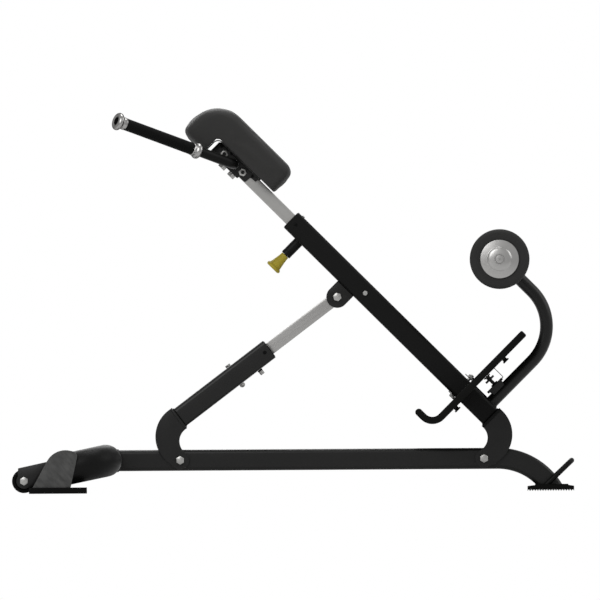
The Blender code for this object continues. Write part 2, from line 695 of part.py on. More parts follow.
def make_front_foot(finishes):
    """Rubber foot with a toothed sole, and the steel plate that closes the base tube's end."""
    pitch = FRONT_FOOT_LENGTH / FRONT_FOOT_TEETH
    flat = TOOTH_FLAT / 2
    sole = [(0.0, 0.0), (flat, 0.0)]
    for i in range(FRONT_FOOT_TEETH):
        valley = (i + 0.5) * pitch
        tooth = (i + 1) * pitch
        sole += [(valley - flat, TOOTH_HEIGHT), (valley + flat, TOOTH_HEIGHT), (tooth - flat, 0.0),
                 (tooth + flat, 0.0)]
    sole[-1] = (FRONT_FOOT_LENGTH, 0.0)
    plate_start = FRONT_PLATE_START_X - FRONT_FOOT_START_X
    crown = round_corners([
        (FRONT_FOOT_LENGTH, TOOTH_HEIGHT, 0), (FRONT_FOOT_LENGTH, FRONT_FOOT_END_HEIGHT, FRONT_FOOT_ROUND),
        (plate_start + FRONT_PLATE_LENGTH, FRONT_FOOT_HEIGHT, 0), (plate_start, FRONT_FOOT_HEIGHT, 0),
        (0.0, FRONT_FOOT_END_HEIGHT, FRONT_FOOT_ROUND), (0.0, TOOTH_HEIGHT, 0)])
    place("front_foot", prism(sole + crown, -FRONT_FOOT_WIDTH / 2, FRONT_FOOT_WIDTH / 2),
          finishes["rubber"], location=(FRONT_FOOT_START_X, 0, 0))
    floor = FRONT_FOOT_HEIGHT + SEAT_GAP
    outline = rounded_rectangle(FRONT_PLATE_LENGTH / 2, FRONT_PLATE_WIDTH / 2, FRONT_PLATE_CORNER)
    place("front_end_plate",
          sweep([section_at(outline, (0, 0, height), (1, 0, 0), (0, 1, 0))
                 for height in (floor, floor + FRONT_PLATE_THICKNESS)], capped=True),
          finishes["black_paint"], location=(FRONT_PLATE_START_X + FRONT_PLATE_LENGTH / 2, 0, 0))


def make_lift_handle(finish):
    """Bent rod for lifting the front end, so that the bench rolls on its rear wheels."""
    run = LIFT_HALF_WIDTH - LIFT_BEND_RADIUS
    path = [((-LIFT_LEG_LENGTH, -LIFT_HALF_WIDTH, 0), (1, 0, 0))]
    steps = arc_steps(pi / 2)
    for i in range(steps + 1):
        turn = pi / 2 * i / steps
        path.append(((LIFT_BEND_RADIUS * (sin(turn) - 1), -run - LIFT_BEND_RADIUS * cos(turn), 0),
                     (cos(turn), sin(turn), 0)))
    for i in range(steps + 1):
        turn = pi / 2 * i / steps
        path.append(((LIFT_BEND_RADIUS * (cos(turn) - 1), run + LIFT_BEND_RADIUS * sin(turn), 0),
                     (-sin(turn), cos(turn), 0)))
    path.append(((-LIFT_LEG_LENGTH, LIFT_HALF_WIDTH, 0), (-1, 0, 0)))
    sections = path_sections(circle(LIFT_ROD_RADIUS, LIFT_SIDES), path, (0, 0, 1))
    rod = place("lift_handle", sweep(sections, capped=True), finish,
                location=(LIFT_ROD_TOP[0], 0, LIFT_ROD_TOP[1]), rotation=(0, -LIFT_ROD_ANGLE, 0))
    reach = LIFT_HALF_WIDTH * 2
    end_x = LIFT_ROD_TOP[0] + LIFT_LEG_LENGTH
    cut(rod, "lift_floor_cutter",
        block((BASE_BEND_X, -reach, -LIFT_LEG_LENGTH), (end_x, reach, BASE_END_HEIGHT)))
    return rod


def bracket_outline(foot, rise):
    """Side outline of a C bracket. u runs up the tube and v is square to it, from the pivot bolt."""
    start = foot - CAP_THICKNESS - SEAT_GAP
    half = TUBE_DEPTH / 2 + BRACKET_LIP
    lug = BRACKET_LUG_RADIUS
    outer_centre = (start - BRACKET_STRAIGHT, rise + half - BRACKET_OUTER_RADIUS)
    spacing = hypot(*outer_centre)
    tangent = atan2(-outer_centre[1], -outer_centre[0]) + 2 * pi
    tangent -= acos((BRACKET_OUTER_RADIUS - lug) / spacing)
    inner_top = rise - half
    inner_radius = (start ** 2 + inner_top ** 2 - lug ** 2) / (2 * (inner_top + lug))
    inner_centre = (start, inner_top - inner_radius)
    neck = atan2(inner_centre[1], inner_centre[0])
    outer_arc = arc(outer_centre, BRACKET_OUTER_RADIUS, pi / 2, tangent, BRACKET_ARC_STEPS)
    lug_arc = arc((0, 0), lug, tangent, 2 * pi + neck, BRACKET_ARC_STEPS)
    inner_arc = arc(inner_centre, inner_radius, pi + neck, pi / 2, BRACKET_ARC_STEPS)
    return [(start, rise + half)] + outer_arc + lug_arc + inner_arc[1:]


def make_pivot_brackets(prefix, parent, sense, foot, rise, finish):
    """The pair of C plates that carry a tube on its pivot bolt."""
    outline = [(sense * u, v) for u, v in bracket_outline(foot, rise)]
    half = BRACKET_THICKNESS / 2
    for side, sign in sides():
        plate = place(f"{prefix}_bracket_{side}", prism(outline, -half, half), finish, parent,
                      location=(0, sign * BRACKET_Y, 0))
        cut(plate, f"{prefix}_bracket_bore_{side}",
            cylinder(M12[0] + BOLT_CLEARANCE, (0, -2 * half, 0), (0, 2 * half, 0), PIPE_SIDES),
            location=(0, sign * BRACKET_Y, 0))
        soften(plate, BRACKET_EDGE)


def make_capped_tube(name, parent, sense, foot, length, rise, finish):
    """A flat-sided tube along local X, with the plate that closes its lower end."""
    outline = rounded_rectangle(TUBE_DEPTH / 2, TUBE_WIDTH / 2, TUBE_CORNER)
    sections = [section_at(outline, (sense * x, 0, rise), (0, 0, 1), (0, 1, 0))
                for x in (foot - CAP_THICKNESS / 2, foot + length)]
    tube = place(name, sweep(sections, capped=False), finish, parent)
    hollow(tube, TUBE_WALL)
    half = TUBE_DEPTH / 2 + BRACKET_LIP
    near, far = sorted((sense * (foot - CAP_THICKNESS), sense * foot))
    join(tube, f"{name}_end_plate",
         block((near, -BRACKET_OUTSIDE, rise - half), (far, BRACKET_OUTSIDE, rise + half)))
    return tube


def make_main_tube(axis, finish):
    """Main tube with its bores for the pull pin, the stop screw and the platform bolt."""
    tube = make_capped_tube("main_tube", axis, -1, FRAME_FOOT, MAIN_LENGTH, FRAME_RISE, finish)
    pin_x = -(FRAME_TOP - PIN_DOWN)
    cut(tube, "pin_bore", cylinder(PIN_NOSE_RADIUS + BOLT_CLEARANCE, (pin_x, 0, 0), (pin_x, 0, FRAME_RISE),
                                   PIPE_SIDES))
    stop_x = -(FRAME_TOP - STOP_SCREW_DOWN)
    cut(tube, "stop_bore", cylinder(M8[0] + BOLT_CLEARANCE, (stop_x, -TUBE_WIDTH, FRAME_RISE),
                                    (stop_x, TUBE_WIDTH, FRAME_RISE), PIPE_SIDES))
    bolt_x = -PLATFORM_BOLT_UP
    cut(tube, "platform_bore", cylinder(M8[0] + BOLT_CLEARANCE, (bolt_x, 0, FRAME_RISE - TUBE_DEPTH),
                                        (bolt_x, 0, FRAME_RISE + TUBE_DEPTH), PIPE_SIDES))
    return tube


def make_guide(name, parent, sense, tube_end, rise, bar_depth, bar_width, bar_corner, finish):
    """Plastic guide in a tube's mouth: a flange over the end and a liner round the sliding bar."""
    flange = rounded_rectangle(TUBE_DEPTH / 2, TUBE_WIDTH / 2, TUBE_CORNER)
    liner_corner = TUBE_CORNER - TUBE_WALL
    inset = TUBE_WALL + SEAT_GAP
    liner = rounded_rectangle(TUBE_DEPTH / 2 - inset, TUBE_WIDTH / 2 - inset, liner_corner)
    mouth = tube_end + SEAT_GAP
    stations = ((liner, tube_end - GUIDE_LENGTH), (liner, mouth), (flange, mouth),
                (flange, mouth + GUIDE_FLANGE))
    sections = [section_at(shape, (sense * x, 0, rise), (0, 0, 1), (0, 1, 0)) for shape, x in stations]
    guide = place(name, sweep(sections, capped=True), finish, parent)
    bore = rounded_rectangle(bar_depth / 2 + SLIDE_GAP, bar_width / 2 + SLIDE_GAP, bar_corner + SLIDE_GAP)
    cut(guide, f"{name}_bore",
        sweep([section_at(bore, (sense * x, 0, rise), (0, 0, 1), (0, 1, 0))
               for x in (tube_end - 2 * GUIDE_LENGTH, tube_end + GUIDE_LENGTH)], capped=True))
    return guide


def make_clevis(axis, finishes):
    """Two lugs on one base under the main tube, and the bolt that carries the strut's rod."""
    x = -(FRAME_TOP - CLEVIS_DOWN)
    z = FRAME_RISE - CLEVIS_DROP
    top = FRAME_LOWER_FACE - SEAT_GAP
    lug = arc((x, z), CLEVIS_RADIUS, pi, 2 * pi, 12)
    outline = [(x - CLEVIS_RADIUS, top)] + lug + [(x + CLEVIS_RADIUS, top)]
    clevis = place("clevis", prism(outline, -CLEVIS_HALF_WIDTH, CLEVIS_HALF_WIDTH), finishes["black_paint"],
                   axis)
    gap = ROD_WIDTH / 2 + SIDE_GAP
    cut(clevis, "clevis_slot", block((x - 2 * CLEVIS_RADIUS, -gap, z - 2 * CLEVIS_RADIUS),
                                     (x + 2 * CLEVIS_RADIUS, gap, top - CLEVIS_BASE)))
    cut(clevis, "clevis_bore",
        cylinder(M12[0] + BOLT_CLEARANCE, (x, -TUBE_WIDTH, z), (x, TUBE_WIDTH, z), PIPE_SIDES))
    grip = 2 * (CLEVIS_HALF_WIDTH + SEAT_GAP)
    place("clevis_bolt", bolt(M12, grip), finishes["zinc"], axis,
          location=(x, -grip / 2, z), rotation=across(-1))


def make_pull_pin(axis, finishes):
    """Spring pin that locks the pad's slide, along local -Z and drawn pulled back clear of it."""
    x = -(FRAME_TOP - PIN_DOWN)
    top = FRAME_LOWER_FACE - SEAT_GAP
    low = top - HOUSING_LENGTH
    bore = PIN_SHANK_RADIUS + BOLT_CLEARANCE
    chamfer = 0.001
    mouth = KNOB_NECK_RADIUS + HOUSING_MOUTH_GAP
    end_low = low + HOUSING_MOUTH
    end_high = end_low + HOUSING_END
    housing = [(HOUSING_RADIUS, top), (HOUSING_RADIUS, low + chamfer), (HOUSING_RADIUS - chamfer, low),
               (mouth, low), (mouth, end_low), (bore, end_low), (bore, end_high),
               (HOUSING_CHAMBER, end_high), (HOUSING_CHAMBER, top)]
    place("pin_housing", turned(housing, ROUND_SIDES, closed=True), finishes["black_paint"], axis,
          location=(x, 0, 0))
    tip = FRAME_RISE - SLIDE_DEPTH / 2 - SEAT_GAP
    spring_low = end_high + SEAT_GAP
    collar_low = spring_low + SPRING_LENGTH + SEAT_GAP
    collar_high = collar_low + PIN_COLLAR_THICKNESS
    shank_low = low - KNOB_BORE_DEPTH
    pin = [(0.0, tip), (PIN_NOSE_RADIUS - chamfer, tip), (PIN_NOSE_RADIUS, tip - chamfer),
           (PIN_NOSE_RADIUS, collar_high), (PIN_COLLAR_RADIUS, collar_high), (PIN_COLLAR_RADIUS, collar_low),
           (PIN_SHANK_RADIUS, collar_low), (PIN_SHANK_RADIUS, shank_low), (0.0, shank_low)]
    place("pull_pin", turned(pin, PIPE_SIDES), finishes["zinc"], axis, location=(x, 0, 0))
    make_pull_knob(axis, x, low - SEAT_GAP, shank_low - SEAT_GAP, finishes["knob_plastic"])
    make_pin_spring(axis, x, spring_low, finishes["zinc"])


def make_pull_knob(axis, x, top, socket, finish):
    """Trumpet-shaped knob on the pin's shank: a neck that flares to a round rim."""
    low = top - KNOB_LENGTH
    bore = PIN_SHANK_RADIUS + BOLT_CLEARANCE
    rim = KNOB_RIM / 2
    flare = KNOB_RADIUS - rim - KNOB_NECK_RADIUS
    knob = [(0.0, socket), (bore, socket), (bore, top), (KNOB_NECK_RADIUS, top)]
    knob += [(KNOB_NECK_RADIUS + flare * rise, top - KNOB_LENGTH * share) for share, rise in KNOB_FLARE]
    knob += [(KNOB_RADIUS - rim + rim * cos(turn), low + rim + rim * sin(turn))
             for turn in (pi / 2, pi / 4, 0.0, -pi / 4, -pi / 2)]
    knob.append((0.0, low))
    place("pull_knob", turned(knob), finish, axis, location=(x, 0, 0))


def make_pin_spring(axis, x, low, finish):
    """Compression spring round the pin's shank, drawn pressed together."""
    radius = (PIN_SHANK_RADIUS + PIN_COLLAR_RADIUS) / 2 + SPRING_WIRE / 4
    rise = SPRING_LENGTH - 2 * SPRING_WIRE
    curve = bpy.data.curves.new("pin_spring", 'CURVE')
    curve.dimensions = '3D'
    curve.bevel_depth = SPRING_WIRE
    curve.bevel_resolution = 0
    curve.use_fill_caps = True
    spline = curve.splines.new('POLY')
    steps = SPRING_TURNS * SPRING_STEPS
    spline.points.add(steps)
    for i, point in enumerate(spline.points):
        turn = 2 * pi * i / SPRING_STEPS
        point.co = (radius * cos(turn), radius * sin(turn), SPRING_WIRE + rise * i / steps, 1.0)
    curve.materials.append(finish)
    spring = bpy.data.objects.new("pin_spring", curve)
    bpy.context.scene.collection.objects.link(spring)
    spring.parent = axis
    spring.location = (x, 0, low)


def make_stop_screw(axis, finish):
    """Cross bolt in the main tube that stops the slide at its lowest place."""
    x = -(FRAME_TOP - STOP_SCREW_DOWN)
    grip = TUBE_WIDTH + 2 * SEAT_GAP
    place("stop_screw", bolt(M8, grip), finish, axis, location=(x, -grip / 2, FRAME_RISE),
          rotation=across(-1))


def make_roller_arm(axis, finish):
    """Bent tube that carries the ankle rollers, with the cross boss for their axle."""
    corner_x = -ARM_FOOT_UP
    bend = ARM_BEND_RADIUS
    foot_z = FRAME_TOP_FACE + SEAT_GAP
    path = [((-ARM_ROLLER_UP, 0, ARM_ROLLER_RISE), (1, 0, 0))]
    steps = arc_steps(pi / 2)
    for i in range(steps + 1):
        turn = pi / 2 * i / steps
        path.append(((corner_x - bend + bend * sin(turn), 0, ARM_ROLLER_RISE - bend + bend * cos(turn)),
                     (cos(turn), 0, -sin(turn))))
    path.append(((corner_x, 0, foot_z), (0, 0, -1)))
    sections = path_sections(circle(ARM_RADIUS), path, (0, 1, 0))
    arm = place("roller_arm", sweep(sections, capped=False), finish, axis)
    hollow(arm, ARM_WALL)
    half = ARM_BOSS_WIDTH / 2
    join(arm, "arm_boss", cylinder(ARM_BOSS_RADIUS, (0, -half, 0), (0, half, 0)),
         location=(-ARM_ROLLER_UP, 0, ARM_ROLLER_RISE))
    cut(arm, "axle_bore", cylinder(AXLE_RADIUS + BOLT_CLEARANCE, (0, -2 * half, 0), (0, 2 * half, 0)),
        location=(-ARM_ROLLER_UP, 0, ARM_ROLLER_RISE))
    return arm


def make_rollers(axis, finishes):
    """The axle, and on each side a hub with its end disc and a foam sleeve."""
    centre = (-ARM_ROLLER_UP, 0, ARM_ROLLER_RISE)
    start = ARM_BOSS_WIDTH / 2 + ROLLER_GAP
    end = start + ROLLER_LENGTH
    bore = AXLE_RADIUS + SLIDE_GAP
    axle_end = end - AXLE_INSET
    chamfer = 0.001
    place("roller_axle", turned([(0.0, -axle_end), (AXLE_RADIUS - chamfer, -axle_end),
                                 (AXLE_RADIUS, -axle_end + chamfer), (AXLE_RADIUS, axle_end - chamfer),
                                 (AXLE_RADIUS - chamfer, axle_end), (0.0, axle_end)], PIPE_SIDES),
          finishes["satin_steel"], axis, location=centre, rotation=across(1))
    face = end + SEAT_GAP + HUB_DISC_THICKNESS
    dome = HUB_DOME_HEIGHT
    hub = [(0.0, axle_end + SEAT_GAP), (bore, axle_end + SEAT_GAP), (bore, start), (HUB_CORE_RADIUS, start),
           (HUB_CORE_RADIUS, end + SEAT_GAP), (HUB_DISC_RADIUS - chamfer, end + SEAT_GAP),
           (HUB_DISC_RADIUS, end + SEAT_GAP + chamfer), (HUB_DISC_RADIUS, face - HUB_EDGE),
           (HUB_DISC_RADIUS - HUB_EDGE, face), (HUB_DOME_RADIUS + 2 * HUB_EDGE, face - HUB_EDGE / 2),
           (HUB_DOME_RADIUS, face)]
    hub += [(HUB_DOME_RADIUS - inset, face + dome * share) for inset, share in HUB_DOME_STEPS]
    hub += [(HUB_CAP_RADIUS, face + dome), (HUB_CAP_RADIUS - HUB_EDGE, face + dome - chamfer),
            (HUB_CAP_RADIUS - 2 * HUB_EDGE, face + dome + HUB_EDGE / 2), (0.0, face + dome + chamfer)]
    core = HUB_CORE_RADIUS + SEAT_GAP
    foam = [(core, start), (ROLLER_RADIUS - ROLLER_ROUND, start)]
    foam += arc((ROLLER_RADIUS - ROLLER_ROUND, start + ROLLER_ROUND), ROLLER_ROUND, -pi / 2, 0, 3)[1:]
    foam += arc((ROLLER_RADIUS - ROLLER_ROUND, end - ROLLER_ROUND), ROLLER_ROUND, 0, pi / 2, 3)
    foam.append((core, end))
    for side, sign in sides():
        place(f"roller_hub_{side}", turned(hub), finishes["satin_steel"], axis, location=centre,
              rotation=across(sign))
        place(f"roller_foam_{side}", turned(foam, closed=True), finishes["foam"], axis, location=centre,
              rotation=across(sign))


def platform_band(inner, outer, top_trim, toe_trim):
    """Outline of the platform's L between two offsets from its middle line, in local XZ."""
    x = -PLATFORM_UP
    half = PLATFORM_THICKNESS / 2
    bend = PLATFORM_BEND_RADIUS
    floor = -PLATFORM_FOOT_DROP + half
    centre = (x - bend, floor + bend)
    top = PLATFORM_TOP_RISE - top_trim
    toe = -PLATFORM_TOE_UP + toe_trim
    steps = PLATFORM_BEND_STEPS
    outside = [(x + outer, top)] + arc(centre, bend + outer, 0, -pi / 2, steps) + [(toe, floor - outer)]
    inside = [(toe, floor - inner)] + arc(centre, bend + inner, -pi / 2, 0, steps) + [(x + inner, top)]
    return outside, inside


def make_foot_platform(axis, finishes):
    """Pressed foot plate that the main tube passes through, with its fixing tabs and bolt."""
    half = PLATFORM_THICKNESS / 2
    outside, inside = platform_band(-half, half, half, half)
    x = -PLATFORM_UP
    floor = -PLATFORM_FOOT_DROP + half
    steps = PLATFORM_BEND_STEPS
    top_round = arc((x, PLATFORM_TOP_RISE - half), half, pi, 0, steps)[1:-1]
    toe_round = arc((-PLATFORM_TOE_UP + half, floor), half, -pi / 2, -3 * pi / 2, steps)[1:-1]
    outline = outside + toe_round + inside + top_round
    width = PLATFORM_WIDTH / 2
    plate = place("foot_platform", prism(outline, -width, width), finishes["black_paint"], axis)
    tab_start = -TAB_UP
    tab_end = x - half + TAB_ROOT
    upper = FRAME_TOP_FACE + TAB_LIFT
    lower = FRAME_LOWER_FACE - SEAT_GAP
    window = TUBE_WIDTH / 2 + PLATFORM_WINDOW_GAP
    reach = 2 * PLATFORM_THICKNESS
    cut(plate, "platform_window",
        block((x - reach, -window, lower), (x + reach, window, FRAME_TOP_FACE + SEAT_GAP)))
    join(plate, "upper_tab", block((tab_start, -TAB_WIDTH / 2, upper),
                                   (tab_end, TAB_WIDTH / 2, upper + TAB_THICKNESS)))
    join(plate, "lower_tab", block((tab_start, -TAB_WIDTH / 2, lower - TAB_THICKNESS),
                                   (tab_end, TAB_WIDTH / 2, lower)))
    bolt_x = -PLATFORM_BOLT_UP
    cut(plate, "tab_bore", cylinder(M8[0] + BOLT_CLEARANCE, (bolt_x, 0, lower - reach),
                                    (bolt_x, 0, upper + reach), PIPE_SIDES))
    recess_out, recess_in = platform_band(-half + PLATFORM_SKIN, 2 * half, PLATFORM_TOP_RIM,
                                          PLATFORM_TOE_RIM)
    for side, sign in sides():
        low, high = sorted((sign * PLATFORM_SPINE / 2, sign * (width - PLATFORM_EDGE)))
        cut(plate, f"platform_recess_{side}", prism(recess_out + recess_in, low, high))
    head_seat = lower - TAB_THICKNESS - SEAT_GAP
    nut_seat = upper + TAB_THICKNESS + SEAT_GAP
    place("platform_bolt", bolt(M8, nut_seat - head_seat), finishes["zinc"], axis,
          location=(bolt_x, 0, head_seat), rotation=(pi, 0, pi / 6))


def make_platform_brace(axis, finishes):
    """Saddle on the roller arm and the stop screw that backs the platform's middle."""
    plate_face = -ARM_SADDLE_UP
    saddle_outline = [(plate_face, ARM_SADDLE_LOW), (-ARM_FOOT_UP, ARM_SADDLE_LOW),
                      (-ARM_FOOT_UP, ARM_SADDLE_HIGH), (plate_face, ARM_SADDLE_HIGH)]
    half = ARM_SADDLE_WIDTH / 2
    saddle = place("arm_saddle", prism(saddle_outline, -half, half), finishes["black_paint"], axis)
    cut(saddle, "saddle_bore",
        cylinder(ARM_RADIUS + SEAT_GAP, (-ARM_FOOT_UP, 0, 0), (-ARM_FOOT_UP, 0, 2 * ARM_SADDLE_HIGH)))
    cut(saddle, "saddle_thread",
        cylinder(STOP_ROD_RADIUS + BOLT_CLEARANCE, (plate_face - ARM_RADIUS, 0, STOP_RISE),
                 (-ARM_FOOT_UP, 0, STOP_RISE), PIPE_SIDES))
    soften(saddle, ARM_SADDLE_EDGE)
    start = -PLATFORM_UP + PLATFORM_THICKNESS / 2 + SEAT_GAP
    stem_end = start + STOP_STEM_LENGTH
    head_end = stem_end + STOP_HEAD_THICKNESS
    rod_end = -ARM_FOOT_UP - ARM_RADIUS - SEAT_GAP - 0.001
    edge = 0.001
    profile = [(0.0, start), (STOP_STEM_RADIUS, start), (STOP_STEM_RADIUS, stem_end),
               (STOP_HEAD_RADIUS - edge, stem_end), (STOP_HEAD_RADIUS, stem_end + edge),
               (STOP_HEAD_RADIUS, head_end - edge), (STOP_HEAD_RADIUS - edge, head_end),
               (STOP_ROD_RADIUS, head_end), (STOP_ROD_RADIUS, rod_end), (0.0, rod_end)]
    place("platform_stop", turned(profile, PIPE_SIDES), finishes["black_paint"], axis,
          location=(0, 0, STOP_RISE), rotation=(0, pi / 2, 0))


def make_strut(axis, clevis_up, finishes):
    """Sleeve, guide, telescoping rod, lock bolt and jam screw of the strut."""
    sleeve = make_capped_tube("strut_sleeve", axis, 1, STRUT_FOOT, SLEEVE_LENGTH, STRUT_RISE,
                              finishes["black_paint"])
    top = STRUT_FOOT + SLEEVE_LENGTH
    lock_x = STRUT_FOOT + LOCK_BOLT_UP
    jam_x = STRUT_FOOT + JAM_SCREW_UP
    below = STRUT_RISE - TUBE_DEPTH
    bore = M8[0] + BOLT_CLEARANCE
    cut(sleeve, "lock_bore",
        cylinder(bore, (lock_x, 0, below), (lock_x, 0, STRUT_RISE + TUBE_DEPTH), PIPE_SIDES))
    cut(sleeve, "jam_bore", cylinder(bore, (jam_x, 0, below), (jam_x, 0, STRUT_RISE), PIPE_SIDES))
    guide = make_guide("strut_guide", axis, 1, top, STRUT_RISE, ROD_DEPTH, ROD_WIDTH, ROD_CORNER,
                       finishes["guide_plastic"])
    cut(guide, "guide_jam_bore", cylinder(bore, (jam_x, 0, below), (jam_x, 0, STRUT_RISE), PIPE_SIDES))
    make_strut_rod(axis, clevis_up, lock_x, finishes["satin_steel"])
    grip = TUBE_DEPTH + 2 * SEAT_GAP
    place("lock_bolt", bolt(M8, grip), finishes["zinc"], axis, location=(lock_x, 0, STRUT_RISE + grip / 2))
    make_jam_screw(axis, jam_x, finishes["zinc"])


def make_jam_screw(axis, x, finish):
    """Screw under the sleeve that presses on the rod: tip, collar, boss and tail."""
    tip = STRUT_RISE - ROD_DEPTH / 2 - SEAT_GAP
    face = STRUT_RISE - TUBE_DEPTH / 2 - SEAT_GAP
    chamfer = 0.001
    profile = [(0.0, tip), (M8[0] - chamfer, tip), (M8[0], tip - chamfer), (M8[0], face)]
    for radius, length in (JAM_COLLAR, JAM_BOSS, JAM_TAIL):
        profile += [(radius, face), (radius, face - length)]
        face -= length
    profile.append((0.0, face))
    place("jam_screw", turned(profile, BOLT_SIDES), finish, axis, location=(x, 0, 0))


def make_strut_rod(axis, clevis_up, lock_x, finish):
    """Bright inner tube of the strut: round eye at the clevis and a slot for the lock bolt."""
    half = ROD_DEPTH / 2
    outline = [(ROD_FOOT_UP, STRUT_RISE - half)] + arc((clevis_up, STRUT_RISE), half, -pi / 2, pi / 2, 8)
    outline.append((ROD_FOOT_UP, STRUT_RISE + half))
    width = ROD_WIDTH / 2
    rod = place("strut_rod", prism(outline, -width, width), finish, axis)
    inner = half - ROD_WALL
    cut(rod, "rod_hollow", block((0, -width + ROD_WALL, STRUT_RISE - inner),
                                 (clevis_up - ROD_SOLID_END, width - ROD_WALL, STRUT_RISE + inner)))
    slot_start = lock_x - M8[0] - ROD_SLOT_SPARE
    slot_end = lock_x + ROD_TRAVEL + M8[0] + ROD_SLOT_SPARE
    cut(rod, "rod_slot", block((slot_start, -ROD_SLOT_WIDTH / 2, STRUT_RISE - ROD_DEPTH),
                               (slot_end, ROD_SLOT_WIDTH / 2, STRUT_RISE + ROD_DEPTH)))
    eye = M12[0] + CLEVIS_EYE_CLEARANCE
    cut(rod, "rod_eye",
        cylinder(eye, (clevis_up, -2 * width, STRUT_RISE), (clevis_up, 2 * width, STRUT_RISE), PIPE_SIDES))
    soften(rod, ROD_CORNER, 1, 60)
    return rod


def make_pad_slide(axis, finish):
    """Bright slide of the pad, with its row of index holes in the lower wall."""
    outline = rounded_rectangle(SLIDE_DEPTH / 2, SLIDE_WIDTH / 2, SLIDE_CORNER)
    ends = (-(FRAME_TOP - SLIDE_FOOT_DOWN), -(FRAME_TOP + SLIDE_TOP_UP))
    sections = [section_at(outline, (x, 0, FRAME_RISE), (0, 0, 1), (0, 1, 0)) for x in ends]
    slide = place("pad_slide", sweep(sections, capped=False), finish, axis)
    hollow(slide, SLIDE_WALL)
    pin_x = -(FRAME_TOP - PIN_DOWN)
    for i in range(-SLIDE_HOLES_ABOVE, SLIDE_HOLES_BELOW + 1):
        hole_x = pin_x + i * SLIDE_HOLE_PITCH
        cut(slide, f"index_hole_{i + SLIDE_HOLES_ABOVE}",
            cylinder(PIN_NOSE_RADIUS + BOLT_CLEARANCE, (hole_x, 0, FRAME_RISE - SLIDE_DEPTH),
                     (hole_x, 0, FRAME_RISE), PIPE_SIDES))
    return slide


def up_frame(up, rise):
    """Local X and Z of a point given by its distance above the tube's top end and above its axis."""
    return (-(FRAME_TOP + up), FRAME_RISE + rise)


def make_pad_bracket(axis, finish):
    """Strap round the slide's upper end that the pad and the handles are fixed to."""
    high = SLIDE_DEPTH / 2
    corners = [(PAD_BRACKET_START, high, 0), *PAD_BRACKET_STEPS,
               (PAD_BRACKET_END - PAD_BRACKET_BEVEL, high, 0)]
    outline = [up_frame(up, rise) for up, rise in round_corners(corners)]
    inner = PAD_BRACKET_INSIDE
    outer = inner + PAD_BRACKET_CHEEK
    bracket = place("pad_bracket", prism(outline, -outer, outer), finish, axis)
    slot_end = -(FRAME_TOP + PAD_BRACKET_END - PAD_BRACKET_WEB)
    cut(bracket, "bracket_slot", block((slot_end, -inner, 0), (0, inner, FRAME_TOP_FACE)))
    bar_x, bar_z = up_frame(HANDLE_BAR_UP, -HANDLE_BAR_DROP)
    cut(bracket, "bar_bore",
        cylinder(HANDLE_RADIUS + SEAT_GAP, (bar_x, -2 * outer, bar_z), (bar_x, 2 * outer, bar_z)))
    return bracket


def make_back_plate(axis, finish):
    """Bent steel plate that backs the pad and turns down behind its lip."""
    low = SLIDE_DEPTH / 2 + SEAT_GAP
    high = low + BACK_PLATE_THICKNESS
    leg = PAD_END - PAD_LIP_THICKNESS - BACK_PLATE_LIP_GAP
    inside = leg - BACK_PLATE_THICKNESS
    corners = [(BACK_PLATE_START, low, 0), (BACK_PLATE_START, high, 0), (leg, high, BACK_PLATE_BEND),
               (leg, -BACK_PLATE_DROP, 0), (inside, -BACK_PLATE_DROP, 0),
               (inside, low, BACK_PLATE_BEND - BACK_PLATE_THICKNESS)]
    outline = [up_frame(up, rise) for up, rise in round_corners(corners)]
    half = BACK_PLATE_WIDTH / 2
    return place("pad_back_plate", prism(outline, -half, half), finish, axis)


def pad_section(draw_in):
    """Side outline of the hip pad, drawn in by a distance all round but on its back."""
    back = SLIDE_DEPTH / 2 + SEAT_GAP + BACK_PLATE_THICKNESS + SEAT_GAP
    notch = PAD_END - PAD_LIP_THICKNESS
    front = PAD_FRONT - draw_in
    soft = draw_in * 0.35
    heel = back + soft * 0.2
    tip = -PAD_LIP_DROP + draw_in
    corners = [(PAD_START + draw_in, heel, 0.002), (notch + soft, heel, PAD_NOTCH_ROUND),
               (notch + soft, tip, 0.004 + soft), (PAD_END - draw_in, tip, PAD_TIP_ROUND),
               (PAD_END - draw_in, front, PAD_TOP_ROUND - draw_in),
               (PAD_START + draw_in, front, PAD_FOOT_ROUND)]
    outline = []
    for i, (up, rise, radius) in enumerate(corners):
        before = Vector(corners[i - 1][:2])
        after = Vector(corners[(i + 1) % len(corners)][:2])
        outline += corner_arc(Vector((up, rise)), before, after, radius, PAD_CORNER_STEPS[i])
    return outline


def corner_arc(here, before, after, radius, steps):
    """The arc that rounds one corner, in a fixed number of steps."""
    back = (before - here).normalized()
    ahead = (after - here).normalized()
    half = acos(max(-1.0, min(1.0, back.dot(ahead)))) / 2
    centre = here + (back + ahead).normalized() * (radius / sin(half))
    reach = radius * cos(half) / sin(half)
    first = here + back * reach - centre
    last = here + ahead * reach - centre
    start = atan2(first.y, first.x)
    turn = (atan2(last.y, last.x) - start + pi) % (2 * pi) - pi
    return arc(centre, radius, start, start + turn, steps)


def make_hip_pad(axis, finish):
    """Upholstered pad: an L with a crowned front and drawn-in sides."""
    stations = [(-share, inset) for share, inset in reversed(PAD_DRAW_IN[1:])] + list(PAD_DRAW_IN)
    sections = []
    for share, inset in stations:
        y = share * PAD_WIDTH / 2
        outline = [up_frame(up, rise) for up, rise in pad_section(inset)]
        sections.append([Vector((u, y, v)) for u, v in outline])
    return place("hip_pad", sweep(sections, capped=True), finish, axis, smooth=60)


